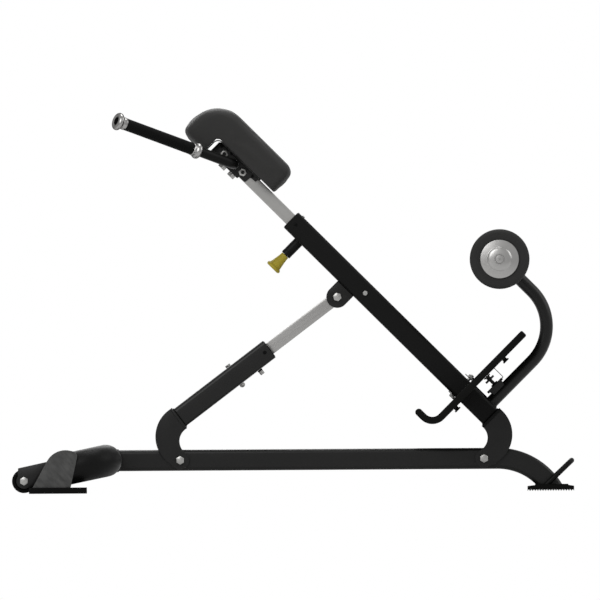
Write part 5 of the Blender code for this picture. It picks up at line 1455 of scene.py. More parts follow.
@dataclass
class AnkleRollers:
    """The bent roller arm with its boss, and a foam roller with its hub on each side."""

    radius: float = 0.01525
    wall: float = 0.0025
    bend: float = 0.118
    foot_up: float = 0.0809
    roller_up: float = 0.3058
    roller_rise: float = 0.3619
    boss_radius: float = 0.019
    boss_width: float = 0.044
    foam_radius: float = 0.071
    foam_length: float = 0.178
    foam_round: float = 0.011
    core: float = 0.0253
    disc: float = 0.04575
    disc_thickness: float = 0.004
    dome: float = 0.0290
    dome_height: float = 0.006
    cap: float = 0.0115

    def build(self, shop: Shop) -> None:
        """Model the arm and both rollers."""
        shop.form(self.model_arm(), "roller_arm", Finish.PAINT, Body.FRAME, TILT)
        ring = arc((-self.foot_up, 0.0), self.radius, 0.0, 2 * pi, 36)[:-1]
        weld = bead([(x, y, FRAME_RISE + TUBE.depth / 2 + 0.0008) for x, y in ring], 0.0020)
        shop.fit(weld, "roller_arm_weld", Finish.PAINT, Body.FRAME, TILT)
        bodies = {Side.NEAR: Body.ROLLER_NEAR, Side.FAR: Body.ROLLER_FAR}
        axle = (-self.roller_up, 0.0, self.roller_rise)
        places = {side: TILT @ across(side.sign, axle) for side in Side}
        for roll in shop.fit_pair(self.model_foam(), "roller_foam", Finish.FOAM, bodies, places, 50.0):
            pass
        shop.fit_pair(self.model_hub(), "roller_hub", Finish.TURNED_STEEL, bodies, places)

    def model_arm(self) -> Piece:
        """Model the bent tube and its cross boss."""
        corner_x = -self.foot_up
        arm = pipe(self.radius, (-self.roller_up, 0.0, self.roller_rise), [
            Straight((self.roller_up + corner_x - self.bend, 0.0, 0.0)),
            Bend((corner_x - self.bend, 0.0, self.roller_rise - self.bend), (0.0, 1.0, 0.0), pi / 2, 28),
            Straight((0.0, 0.0, -(self.roller_rise - self.bend - FRAME_RISE - 0.0253)))], self.wall, 40)
        half, edge = self.boss_width / 2, 0.0012
        boss = lathe([(0.0126, -half), (self.boss_radius - edge, -half), (self.boss_radius, -half + edge),
                      (self.boss_radius, half - edge), (self.boss_radius - edge, half), (0.0126, half)], 48,
                     closed=True)
        move_to(boss, across(1, (-self.roller_up, 0.0, self.roller_rise)))
        return merge_pieces([arm, boss])

    def model_foam(self) -> Piece:
        """Model the foam sleeve: round shoulders and a face that dips towards the hub."""
        start = self.boss_width / 2 + 0.0015
        end = start + self.foam_length
        radius, turn = self.foam_radius, self.foam_round
        profile: list[Flat] = [(self.core, start), (self.core + 0.006, start + 0.0004)]
        profile += [(radius - turn - 0.012, start)]
        profile += arc((radius - turn, start + turn), turn, -pi / 2, 0.0, 8)
        profile += [(radius, start + 0.05), (radius, end - 0.05)]
        profile += arc((radius - turn, end - turn), turn, 0.0, pi / 2, 8)
        profile += [(radius - turn - 0.012, end), (self.core + 0.006, end - 0.0004), (self.core, end)]
        return lathe(profile, 72, closed=True)

    def model_hub(self) -> Piece:
        """Model the hub: a sleeve, a flat end disc with a rolled rim, and a stepped dome."""
        start = self.boss_width / 2 + 0.0015
        end = start + self.foam_length + 0.0003
        face = end + self.disc_thickness
        dome, height = self.dome, self.dome_height
        profile = [(0.0, end - 0.004), (0.0126, end - 0.004), (0.0126, start), (0.0250, start), (0.0250, end),
                   (self.disc - 0.0012, end), (self.disc, end + 0.0010), (self.disc, face - 0.0010),
                   (self.disc - 0.0003, face - 0.0003), (self.disc - 0.0010, face), (dome + 0.0012, face),
                   (dome + 0.0004, face + height * 0.04), (dome - 0.0004, face + height * 0.16),
                   (dome - 0.0018, face + height * 0.40), (dome - 0.0044, face + height * 0.62),
                   (dome - 0.0084, face + height * 0.80), (self.cap + 0.0024, face + height * 0.94),
                   (self.cap + 0.0008, face + height * 0.96), (self.cap, face + height * 0.86),
                   (self.cap - 0.0010, face + height * 0.86), (self.cap - 0.0020, face + height * 1.06),
                   (self.cap - 0.0050, face + height * 1.14), (0.0016, face + height * 1.16),
                   (0.0010, face + height * 1.04), (0.0, face + height * 1.02)]
        return lathe(profile, 72)


@dataclass
class FootPlatform:
    """The pressed foot plate with its fixing, and the saddle and stop behind it."""

    up: float = 0.1415
    thickness: float = 0.0172
    top_rise: float = 0.2784
    top_corner: float = 0.0040
    foot_drop: float = 0.0395
    toe_up: float = 0.1955
    bend: float = 0.030
    width: float = 0.400
    skin: float = 0.003
    edge: float = 0.004
    spine: float = 0.100
    bolt_up: float = 0.1572
    saddle_up: float = 0.1058
    saddle_low: float = 0.1166
    saddle_high: float = 0.1649
    saddle_width: float = 0.042
    arm_up: float = 0.0809
    arm_radius: float = 0.01525
    stop_rise: float = 0.1425
    clip_rise: float = 0.1690
    clip_length: float = 0.0302
    shoe_end: float = 0.0975
    tab_half_width: float = 0.020
    tab_end: float = -0.1720
    stud_rises: Flat = (0.2009, 0.0382)
    stud_aside: float = 0.046

    def band(self, inner: float, outer: float, top_trim: float,
             toe_trim: float) -> tuple[list[Flat], list[Flat]]:
        """Give the platform's outline between two offsets from its middle line.

        Args:
            inner: Offset of the face towards the sole.
            outer: Offset of the back face.
            top_trim: How far the outline stops short of the top.
            toe_trim: How far it stops short of the toe.

        Returns:
            The back line and the front line.
        """
        half = self.thickness / 2
        x, floor = -self.up, -self.foot_drop + half
        centre = (x - self.bend, floor + self.bend)
        top, toe = self.top_rise - top_trim, -self.toe_up + toe_trim
        back = [(x + outer, top), *arc(centre, self.bend + outer, 0.0, -pi / 2, 16), (toe, floor - outer)]
        front = [(toe, floor - inner), *arc(centre, self.bend + inner, -pi / 2, 0.0, 16), (x + inner, top)]
        return back, front

    def build(self, shop: Shop) -> None:
        """Model the platform, its bolt, the saddle and the stop."""
        shop.form(self.model_platform(), "foot_platform", Finish.PLATE_PAINT, Body.FRAME, TILT)
        top, low = FRAME_RISE + TUBE.depth / 2, FRAME_RISE - TUBE.depth / 2
        head, nut = low - 0.0026, top + 0.0068
        place = TILT @ upside_down((-self.bolt_up, 0.0, head)) @ Matrix.Rotation(pi / 6, 4, 'Z')
        shop.form(HexBolt(M8, nut - head).build(), "platform_bolt", Finish.ZINC, Body.FRAME, place)
        shop.form(self.model_saddle(), "arm_saddle", Finish.PAINT, Body.FRAME, TILT)
        place = TILT @ along_x((0.0, 0.0, self.stop_rise))
        shop.form(self.model_stop(), "platform_stop", Finish.PAINT, Body.FRAME, place)
        back = -self.up + self.thickness / 2
        self.fit_studs(shop, back)
        self.fit_clip(shop, back)
        start = self.up - self.thickness / 2 + SEAT
        shoe = block((-start, -self.shoe_end), (top, top + 0.0033), self.tab_half_width)
        round_edges(shoe, 0.0005, 2, 60)
        shop.fit(shoe, "platform_shoe", Finish.PLATE_PAINT, Body.FRAME, TILT)

    def model_platform(self) -> Piece:
        """Model the pressed plate: round ends and corners, a window for the tube and two tabs."""
        half = self.thickness / 2
        x, floor = -self.up, -self.foot_drop + half
        back, front = self.band(-half, half, self.top_corner, half)
        toe = arc((-self.toe_up + half, floor), half, -pi / 2, -3 * pi / 2, 14)[1:-1]
        corner, level = self.top_corner, self.top_rise - self.top_corner
        top = [*arc((x - half + corner, level), corner, pi, pi / 2, 6),
               *arc((x + half - corner, level), corner, pi / 2, 0.0, 6)]
        width = self.width / 2
        piece = plate([*back, *toe, *front, *top], -width, width)
        recess_back, recess_front = self.band(-half + self.skin, 2 * half, 0.014, 0.010)
        for side in Side:
            low, high = sorted((side.sign * self.spine / 2, side.sign * (width - self.edge)))
            combine(piece, plate([*recess_back, *recess_front], low, high))
        round_edges(piece, 0.0016, 3, 70)
        reach = TUBE.depth / 2 + SEAT
        combine(piece, block((x - 0.03, x + 0.03), (FRAME_RISE - reach, FRAME_RISE + reach), 0.0415))
        for low in (FRAME_RISE + 0.0295, FRAME_RISE - reach - 0.002):
            tab = block((self.tab_end, x - half + 0.001), (low, low + 0.002), self.tab_half_width)
            round_edges(tab, 0.0005, 2, 60)
            combine(piece, tab, 'UNION')
        return piece

    def fit_studs(self, shop: Shop, back: float) -> None:
        """Model the studs on the platform's back.

        Args:
            shop: The shop.
            back: Local X of the platform's back face.
        """
        stud = lathe([(0.0, -0.0006), (0.0056, -0.0006), (0.0056, 0.0050), (0.0080, 0.0052), (0.0084, 0.0058),
                      (0.0084, 0.0082), (0.0078, 0.0090), (0.0, 0.0092)], 32)
        shop.fit_copies(stud, Finish.PLATE_PAINT, Body.FRAME, {
            f"platform_stud_{side.value}_{i}": TILT @ along_x((back, side.sign * self.stud_aside, rise))
            for i, rise in enumerate(self.stud_rises) for side in Side})

    def fit_clip(self, shop: Shop, back: float) -> None:
        """Model the thin wire clip behind the platform.

        Args:
            shop: The shop.
            back: Local X of the platform's back face.
        """
        turn = 0.002
        start, run = back - 0.0008, self.clip_length - turn
        centre = (start + run, 0.0, self.clip_rise - turn)
        clip = pipe(0.0009, (start, 0.0, self.clip_rise), [
            Straight((run, 0.0, 0.0)), Bend(centre, (0.0, 1.0, 0.0), pi / 2, 6),
            Straight((0.0, 0.0, -0.0040))], 0.0, 10)
        shop.fit(clip, "stop_clip", Finish.PAINT, Body.FRAME, TILT)

    def model_saddle(self) -> Piece:
        """Model the plate on the roller arm, the web that joins them and the boss for the stop's rod."""
        face, low, high = -self.saddle_up, self.saddle_low, self.saddle_high
        half = self.saddle_width / 2
        pad = block((face, face + 0.006), (low, high), half)
        web = plate([(face + 0.005, low + 0.004), (-self.arm_up, low + 0.009), (-self.arm_up, high - 0.009),
                     (face + 0.005, high - 0.004)], -half + 0.008, half - 0.008)
        combine(pad, web, 'UNION')
        round_edges(pad, 0.0008, 2, 50)
        boss = lathe([(0.0044, 0.0), (0.0088, 0.0), (0.0092, 0.0006), (0.0092, 0.0200), (0.0070, 0.0220),
                      (0.0044, 0.0220)], 36, closed=True)
        move_to(boss, along_x((face - 0.0030, 0.0, self.stop_rise)))
        return merge_pieces([pad, boss])

    def model_stop(self) -> Piece:
        """Model the stop: a stem, a round head and its rod."""
        start = -self.up + self.thickness / 2 + SEAT
        stem, head = start + 0.0081, start + 0.0131
        end = -self.arm_up - self.arm_radius - 0.0013
        disc, edge = 0.0130, 0.0008
        return lathe([(0.0, start), (0.0092, start), (0.0092, start + 0.0026), (0.0084, start + 0.0034),
                      (0.0055, start + 0.0036), (0.0055, stem), (disc - edge, stem), (disc, stem + edge),
                      (disc, head - edge), (disc - edge, head), (0.0046, head), (0.0041, head + 0.0006),
                      (0.0041, end), (0.0, end)], 40)


@dataclass
class Strut:
    """The telescoping strut: sleeve, guide, bright rod, lock bolt and jam screw."""

    foot: float = 0.0600
    length: float = 0.2680
    rise: float = 0.0806
    rod_foot: float = 0.2030
    clevis_up: float = 0.53114
    eye: float = 0.0087
    lock_up: float = 0.1660
    jam_up: float = 0.2200
    hole_up: float = 0.2546

    def build(self, shop: Shop) -> None:
        """Model the strut's pieces."""
        tube = capped_tube(self.foot, self.length, self.rise, 1)
        shop.form(tube, "strut_sleeve", Finish.PAINT, Body.SLEEVE, STRUT)
        weld = bead(ring_points(self.foot + 0.001, self.rise), 0.0018)
        shop.fit(weld, "strut_sleeve_weld", Finish.PLATE_PAINT, Body.SLEEVE, STRUT)
        shop.form(model_guide(1, self.foot + self.length, self.rise, ROD), "strut_guide", Finish.GUIDE,
                  Body.SLEEVE, STRUT)
        shop.form(self.model_rod(), "strut_rod", Finish.ROD_STEEL, Body.ROD, STRUT)
        grip = TUBE.depth + 2 * SEAT
        place = STRUT @ Matrix.Translation((self.foot + self.lock_up, 0.0, self.rise + grip / 2))
        shop.form(HexBolt(M8, grip).build(), "lock_bolt", Finish.ZINC, Body.SLEEVE, place)
        self.fit_jam_screw(shop)
        self.fit_guide_screws(shop)

    def model_rod(self) -> Piece:
        """Model the bright inner bar with its round eye end."""
        half, eye = ROD.depth / 2, (self.clevis_up, self.rise)
        outline = [(self.rod_foot, self.rise - half), *arc(eye, half, -pi / 2, pi / 2, 28),
                   (self.rod_foot, self.rise + half)]
        bar = plate(outline, -ROD.width / 2, ROD.width / 2)
        round_edges(bar, 0.0008, 2, 60)
        combine(bar, cross_rod(self.eye, eye, 0.05))
        return bar

    def fit_jam_screw(self, shop: Shop) -> None:
        """Model the dark collar under the sleeve and the bright screw that turns in it."""
        face = self.rise - TUBE.depth / 2 - SEAT
        place = STRUT @ upside_down((self.foot + self.jam_up, 0.0, face))
        nut = lathe([(0.0, -0.011), (0.0040, -0.011), (0.0040, 0.0032), (0.0050, 0.0032), (0.0055, 0.0038),
                     (0.0055, 0.0116), (0.0049, 0.0124), (0.0022, 0.0126), (0.0018, 0.0120),
                     (0.0, 0.0120)], 36)
        shop.form(nut, "jam_screw", Finish.ZINC, Body.SLEEVE, place)
        boss = lathe([(0.0042, 0.0), (0.0060, 0.0), (0.0063, 0.0005), (0.0063, 0.0027), (0.0058, 0.0032),
                      (0.0042, 0.0032)], 36, closed=True)
        shop.fit(boss, "jam_screw_boss", Finish.GUIDE, Body.SLEEVE, place)

    def fit_guide_screws(self, shop: Shop) -> None:
        """Model the small dark screws near the sleeve's mouth."""
        head = lathe([(0.0, 0.0002), (0.0026, 0.0002), (0.0030, 0.0010), (0.0042, 0.0006), (0.0046, -0.0004),
                      (0.0, -0.0004)], 28)
        x, wall = self.foot + self.hole_up, TUBE.width / 2 + SEAT
        shop.fit_copies(head, Finish.GUIDE, Body.SLEEVE, {
            f"sleeve_screw_{side.value}": STRUT @ across(side.sign, (x, side.sign * wall, self.rise))
            for side in Side})


@dataclass
class PadCarriage:
    """The bright slide with the bracket, the back plate and their fasteners."""

    slide_foot: float = 0.1800
    slide_top: float = 0.1700
    hole_pitch: float = 0.020
    pin_down: float = 0.0487
    holes: range = range(-3, 6)
    bracket_start: float = 0.1185
    bracket_end: float = 0.2512
    bracket_steps: tuple[tuple[float, float, float], ...] = (
        (0.1185, 0.0128, 0.0), (0.1235, 0.0115, 0.001), (0.1235, 0.0052, 0.001), (0.1390, 0.0037, 0.002),
        (0.1412, -0.0140, 0.003), (0.1600, -0.0140, 0.0), (0.1600, -0.0200, 0.003), (0.2512, -0.0200, 0.003),
        (0.2512, 0.0110, 0.001), (0.2470, 0.0150, 0.0))
    cheek_inside: float = 0.0303
    cheek: float = 0.005
    plate_start: float = 0.1185
    plate_bend: float = 0.0160
    plate_thickness: float = 0.0028
    plate_width: float = 0.190
    plate_drop: float = 0.0300
    leg_up: float = 0.2612
    nuts_up: Flat = (0.1614, 0.2226)
    screws_up: Flat = (0.1756, 0.2049)
    black_screws: tuple[Flat, ...] = ((0.1381, 0.0091), (0.2111, 0.0120), (0.2400, 0.0084))
    rib_up: float = 0.2460

    def build(self, shop: Shop) -> None:
        """Model the carriage's metal pieces."""
        shop.form(self.model_slide(), "pad_slide", Finish.SLIDE_STEEL, Body.CARRIAGE, TILT)
        shop.form(self.model_bracket(), "pad_bracket", Finish.PAINT, Body.CARRIAGE, TILT)
        shop.form(self.model_back_plate(), "pad_back_plate", Finish.PAINT, Body.CARRIAGE, TILT)
        self.fit_fasteners(shop)

    def model_slide(self) -> Piece:
        """Model the slide with the row of index holes in its lower wall."""
        start = -(FRAME_TOP - self.slide_foot)
        slide = box_tube(SLIDE, (start, 0.0, FRAME_RISE),
                         [Straight((-(self.slide_foot + self.slide_top), 0.0, 0.0))])
        for i in self.holes:
            x = -(FRAME_TOP - self.pin_down) + i * self.hole_pitch
            combine(slide, rod(0.0053, (x, 0.0, FRAME_RISE - 0.03), (x, 0.0, FRAME_RISE)))
        return slide

    def model_bracket(self) -> Piece:
        """Model the strap round the slide's upper end, with its stepped lower edge."""
        corners = [(self.bracket_start, SLIDE.depth / 2, 0.0), *self.bracket_steps]
        outer = self.cheek_inside + self.cheek
        bracket = plate([up_tube(u, v) for u, v in rounded(corners, 6)], -outer, outer)
        slot_end = up_tube(self.bracket_end - 0.006, 0.0)[0]
        combine(bracket, block((slot_end, 0.0), (0.0, 0.2), self.cheek_inside))
        round_edges(bracket, 0.0007, 2, 60)
        combine(bracket, cross_rod(0.01182, up_tube(*HANDLE_SPOT), 0.05, 36))
        return bracket

    def model_back_plate(self) -> Piece:
        """Model the bent plate that backs the pad and turns down behind its lip."""
        low = SLIDE.depth / 2
        high, leg = low + self.plate_thickness, self.leg_up
        inside, bend = leg - self.plate_thickness, self.plate_bend
        corners = [(self.plate_start, low, 0.0), (self.plate_start, high, 0.0), (leg, high, bend),
                   (leg, -self.plate_drop, 0.0), (inside, -self.plate_drop, 0.0),
                   (inside, low, bend - self.plate_thickness)]
        half = self.plate_width / 2
        sheet = plate([up_tube(u, v) for u, v in rounded(corners, 10)], -half, half)
        round_edges(sheet, 0.0006, 2, 60)
        return sheet

    def fit_fasteners(self, shop: Shop) -> None:
        """Model the nuts on the bracket's cheeks and the screws under it."""
        nut = HexBolt(BoltSize(0.0046, 0.0172, 0.0050, 0.0050, 0.001), 0.01).hexagon(0.0050)
        combine(nut, rod(0.0048, (0.0, 0.0, -0.001), (0.0, 0.0, 0.02)))
        plug = lathe([(0.0, -0.001), (0.0046, -0.001), (0.0046, 0.0006), (0.0042, 0.0010), (0.0, 0.0010)], 28)
        spots = {f"{side.value}_{i}": self.on_cheek(side, up, 0.0, 0.0001)
                 for side in Side for i, up in enumerate(self.nuts_up)}
        for model, stem, finish in ((nut, "nut", Finish.ZINC), (plug, "plug", Finish.PAINT)):
            shop.fit_copies(model, finish, Body.CARRIAGE,
                            {f"bracket_{stem}_{tag}": spot for tag, spot in spots.items()})
        self.fit_black_screws(shop)
        screw = HexBolt(BoltSize(0.0040, 0.0190, 0.0090, 0.0090, 0.001), 0.01).hexagon(0.0090)
        places = {}
        for i, up in enumerate(self.screws_up):
            x, z = up_tube(up, -0.0201)
            for side in Side:
                places[f"bracket_screw_{side.value}_{i}"] = TILT @ upside_down((x, side.sign * 0.018, z))
        shop.fit_copies(screw, Finish.ZINC, Body.CARRIAGE, places)

    def on_cheek(self, side: Side, up: float, rise: float, gap: float = 0.0) -> Matrix:
        """Make a frame on a cheek's outer face, with its Z axis pointing outwards.

        Args:
            side: The cheek's side.
            up: Distance beyond the main tube's top end.
            rise: Distance from the tube's middle line.
            gap: Distance off the face.

        Returns:
            The frame.
        """
        x, z = up_tube(up, rise)
        return TILT @ across(side.sign, (x, side.sign * (self.cheek_inside + self.cheek + gap), z))

    def fit_black_screws(self, shop: Shop) -> None:
        """Model the three small black screws along each cheek, and the rib near its end."""
        head = lathe([(0.0, 0.0010), (0.0016, 0.0010), (0.0018, 0.0020), (0.0030, 0.0018), (0.0034, 0.0010),
                      (0.0034, -0.0005), (0.0, -0.0005)], 24)
        shop.fit_copies(head, Finish.GUIDE, Body.CARRIAGE, {
            f"cheek_screw_{side.value}_{i}": self.on_cheek(side, up, rise)
            for side in Side for i, (up, rise) in enumerate(self.black_screws)})
        (x, low), (_, high) = up_tube(self.rib_up, -0.0100), up_tube(self.rib_up, 0.0110)
        for side in Side:
            y = side.sign * (self.cheek_inside + self.cheek)
            shop.fit(rod(0.0011, (x, y, low), (x, y, high), 20), f"cheek_rib_{side.value}", Finish.PAINT,
                     Body.CARRIAGE, TILT)


@dataclass
class Handles:
    """The splayed handle bar with a collar, a grip and a flared cap on each end."""

    corner_y: float = 0.105
    grip_gap: float = 0.0037
    bend: float = 0.036
    length: float = 0.3345
    tilt: float = radians(24.35)
    splay: float = radians(27.0)
    set_screw: float = radians(-24.0)
    radius: float = 0.0118
    grip_radius: float = 0.0145
    grip_length: float = 0.1925
    collar_radius: float = 0.0196
    collar_neck: float = 0.0155
    collar_length: float = 0.0214
    collar_side: tuple[Flat, ...] = ((0.0, -0.30), (0.02, 0.05), (0.08, 0.38), (0.16, 0.64), (0.27, 0.86),
                                     (0.40, 0.98), (0.50, 1.0), (0.62, 0.95), (0.74, 0.80), (0.84, 0.60),
                                     (0.92, 0.34), (0.97, 0.10), (1.0, 0.0))
    cap_length: float = 0.0270
    cap_radius: float = 0.0214
    cap_round: float = 0.0070
    cap_neck: float = 0.0150
    socket: float = 0.0094

    def build(self, shop: Shop) -> None:
        """Model the bar and what is on its ends."""
        x, z = up_tube(*HANDLE_SPOT)
        frame = TILT @ Matrix.Translation((x, 0.0, z)) @ Matrix.Rotation(-self.tilt, 4, 'Y')
        shop.form(self.model_bar(), "handle_bar", Finish.SHADED_PAINT, Body.CARRIAGE, frame)
        places = {}
        for side in Side:
            ray = (-cos(self.splay), side.sign * sin(self.splay), 0.0)
            places[side] = frame @ towards(ray, (0.0, side.sign * self.corner_y, 0.0))
        shop.fit_pair(self.model_grip(), "handle_grip", Finish.GRIP, Body.CARRIAGE, places)
        shop.fit_pair(self.model_collar(), "handle_collar", Finish.BRIGHT_STEEL, Body.CARRIAGE, places)
        shop.fit_pair(self.model_cap(), "handle_cap", Finish.BRIGHT_STEEL, Body.CARRIAGE, places)
        shop.fit_copies(self.model_socket(), Finish.GUIDE, Body.CARRIAGE,
                        {f"handle_socket_{side.value}": place for side, place in places.items()})

    def model_bar(self) -> Piece:
        """Model the bent tube: a cross piece, two bends and two straight ends."""
        turn = pi / 2 - self.splay
        reach = self.bend * tan(turn / 2)
        run = self.length - self.cap_length * 0.6 - reach
        put_down()
        bpy.ops.mesh.primitive_circle_add(vertices=36, radius=self.radius, fill_type='NOTHING',
                                          rotation=(pi / 2, 0.0, 0.0))
        half = bpy.context.object
        bake_place(half)
        ray = Vector((-cos(self.splay), sin(self.splay), 0.0))
        centre = (-self.bend, self.corner_y - reach, 0.0)
        half = run_tube(half, [Straight((0.0, self.corner_y - reach, 0.0)),
                               Bend(centre, (0.0, 0.0, 1.0), turn, 16), Straight(tuple(ray * run))], 0.0025)
        use_modifier(half, 'MIRROR', use_axis=(False, True, False), use_mirror_merge=True,
                     merge_threshold=0.0001)
        with editing(half):
            bpy.ops.mesh.normals_make_consistent(inside=False)
        return half

    def model_grip(self) -> Piece:
        """Model the rubber grip: shallow grooves between two plain ends."""
        fit, radius = self.radius + SEAT, self.grip_radius
        start = self.length - self.cap_length - self.grip_length + self.grip_gap
        end = self.length - self.cap_length - SEAT
        profile: list[Flat] = [(fit, start), (radius - 0.0014, start), (radius - 0.0004, start + 0.0006),
                               (radius, start + 0.0018), (radius, start + 0.010)]
        count = 26
        pitch = (end - start - 0.022) / count
        for i in range(count):
            level = start + 0.011 + i * pitch
            profile += [(radius - 0.0006, level + 0.0006), (radius - 0.0006, level + 0.0014),
                        (radius, level + 0.0020), (radius, level + pitch - 0.0002)]
        profile += [(radius, end - 0.0018), (radius - 0.0004, end - 0.0006), (radius - 0.0014, end),
                    (fit, end)]
        return lathe(profile, 40, closed=True)

    def model_collar(self) -> Piece:
        """Model the bright collar: a round bulge and a short sleeve with a set screw hole."""
        fit, bulge, neck = self.radius + SEAT, self.collar_radius, self.collar_neck
        end = self.length - self.cap_length - self.grip_length + self.grip_gap - SEAT
        start = end - self.collar_length
        side = [(neck + (bulge - neck) * rise, start + 0.0146 * share) for share, rise in self.collar_side]
        collar = lathe([(fit, start), *side, (neck, end - 0.0010), (neck - 0.0008, end), (fit, end)], 64,
                       closed=True)
        x, y, level = cos(self.set_screw), sin(self.set_screw), end - 0.0034
        combine(collar, rod(0.0017, (0.0135 * x, 0.0135 * y, level), (0.03 * x, 0.03 * y, level), 24))
        return collar

    def model_cap(self) -> Piece:
        """Model the door-knob end cap: a short neck, a waist and a fat round rim with a socket."""
        fit, length, rim = self.radius + SEAT, self.length, self.cap_round
        start = length - self.cap_length
        tube_end = length - self.cap_length * 0.4
        middle, level = self.cap_radius - rim, length - rim
        neck = [(self.cap_neck - less, start + share)
                for less, share in ((0.0010, 0.0), (0.0, 0.0010), (0.0, 0.0062), (0.0006, 0.0074),
                                    (0.0012, 0.0088), (0.0012, 0.0102), (0.0006, 0.0118))]
        bulge = [(middle + rim * cos(turn), level + rim * sin(turn))
                 for turn in (radians(-78 + 178 * i / 20) for i in range(21))]
        hole = [(self.socket + 0.0010, length - 0.0006), (self.socket + 0.0002, length - 0.0012),
                (self.socket, length - 0.0022), (self.socket, length - 0.0090), (0.0, length - 0.0090)]
        return lathe([(0.0, tube_end + SEAT), (fit, tube_end + SEAT), (fit, start), *neck, *bulge, *hole], 64)

    def model_socket(self) -> Piece:
        """Model the black cup in the cap's socket."""
        wide, low = self.socket - 0.0001, self.length - 0.0088
        return lathe([(0.0, low), (wide, low), (wide, low + 0.0062), (wide - 0.0006, low + 0.0062),
                      (wide - 0.0008, low + 0.0010), (0.0, low + 0.0010)], 40)


@dataclass
class HipPad:
    """The upholstered hip pad: an L in the side view, swelled as cloth over its shape."""

    start: float = 0.0723
    end: float = 0.3345
    front: float = 0.0880
    lip: float = 0.0732
    lip_drop: float = 0.0342
    width: float = 0.230
    back: float = 0.0178
    corner_steps: tuple[int, ...] = (2, 6, 4, 10, 18, 10)
    draw_in: tuple[Flat, ...] = ((0.0, 0.0), (0.25, 0.0002), (0.45, 0.0006), (0.62, 0.0013),
                                 (0.75, 0.0022), (0.84, 0.0038), (0.90, 0.0056), (0.95, 0.0088),
                                 (0.98, 0.0125), (1.0, 0.0185))
    shrink: float = 0.0015
    swell: float = 0.0017
    crown: float = 0.0055

    def section(self, inset: float) -> list[Flat]:
        """Give the pad's side outline, drawn in all round but on its back.

        Args:
            inset: How far it is drawn in.

        Returns:
            The outline, up the tube and square to it.
        """
        notch = self.end - self.lip
        corners = [(self.start + inset, self.back, 0.002), (notch, self.back, 0.010),
                   (notch, -self.lip_drop + inset, 0.004 + inset * 0.35),
                   (self.end - inset, -self.lip_drop + inset, 0.020),
                   (self.end - inset, self.front - inset, 0.076 - inset),
                   (self.start + inset, self.front - inset, 0.021)]
        line: list[Flat] = []
        for i, corner in enumerate(corners):
            before, after = corners[i - 1], corners[(i + 1) % len(corners)]
            bare = [(*before[:2], 0.0), corner, (*after[:2], 0.0)]
            line += rounded(bare, self.corner_steps[i])[1:-1]
        return line

    def build(self, shop: Shop) -> None:
        """Model the pad, swell it and hand it over."""
        pad = self.swell_as_cloth(self.model_shape(self.shrink))
        piece = shop.form(pad, "hip_pad", Finish.VINYL, Body.CARRIAGE, TILT, 60.0)

    def model_shape(self, shrink: float = 0.0) -> Piece:
        """Model the pad's plain shape, ring by ring across its width.

        Args:
            shrink: How much smaller it is drawn all round, but on its back.

        Returns:
            The closed shape.
        """
        stations = [(-share, inset) for share, inset in reversed(self.draw_in[1:])] + list(self.draw_in)
        half = self.width / 2 - shrink
        rings = [[(u, share * half, v) for u, v in (up_tube(*spot) for spot in self.section(inset + shrink))]
                 for share, inset in stations]
        count = len(rings[0])
        put_down()
        bpy.ops.mesh.primitive_circle_add(vertices=count, radius=1.0, fill_type='NGON')
        piece = bpy.context.object
        for vertex, place in zip(piece.data.vertices, rings[0]):
            vertex.co = place
        with editing(piece):
            mesh = bmesh.from_edit_mesh(piece.data)
            for ring in rings[1:]:
                bpy.ops.mesh.extrude_region_move(TRANSFORM_OT_translate={"value": (0.0, 0.001, 0.0)})
                mesh = bmesh.from_edit_mesh(piece.data)
                moved = sorted((vertex for vertex in mesh.verts if vertex.select),
                               key=lambda item: item.index)
                for vertex, place in zip(moved, ring):
                    vertex.co = place
                bmesh.update_edit_mesh(piece.data)
        outward(piece)
        return piece

    def swell_as_cloth(self, shape: Piece) -> Piece:
        """Swell the pad's cover by a cloth simulation and keep its result.

        Args:
            shape: The plain shape.

        Returns:
            The swelled pad.
        """
        use_modifier(shape, 'REMESH', mode='VOXEL', voxel_size=0.0040)
        rest = [(vertex.co.copy(), vertex.normal.copy()) for vertex in shape.data.vertices]
        take_up(shape)
        cloth = shape.modifiers.new("cover", 'CLOTH')
        cloth.settings.use_pressure = True
        cloth.settings.uniform_pressure_force = 4.0
        cloth.settings.tension_stiffness = 40.0
        cloth.settings.compression_stiffness = 40.0
        cloth.settings.bending_stiffness = 2.0
        cloth.settings.effector_weights.gravity = 0.0
        for frame in range(1, 21):
            bpy.context.scene.frame_set(frame)
        bpy.ops.object.modifier_apply(modifier=cloth.name)
        notch_x, back_z = up_tube(self.end - self.lip, self.back)
        for vertex, (start, normal) in zip(shape.data.vertices, rest):
            depth = max(start.z - back_z, notch_x - start.x)
            limit = self.swell + (self.crown - self.swell) * abs(normal.y) * max(0.0, min(1.0, depth / 0.030))
            out = (vertex.co - start).dot(normal)
            vertex.co = start + normal * (max(0.0, min(limit, out)) if depth > 0.001 else 0.0)
        use_modifier(shape, 'SMOOTH', factor=0.5, iterations=4)
        for vertex in shape.data.vertices:
            if abs(vertex.co.z - back_z) < 0.0024 and vertex.co.x > notch_x + 0.004:
                vertex.co.z = back_z
            elif abs(vertex.co.x - notch_x) < 0.0024 and vertex.co.z < back_z - 0.004:
                vertex.co.x = notch_x
        bpy.context.scene.frame_set(1)
        use_modifier(shape, 'SUBSURF', levels=1, render_levels=1)
        return shape


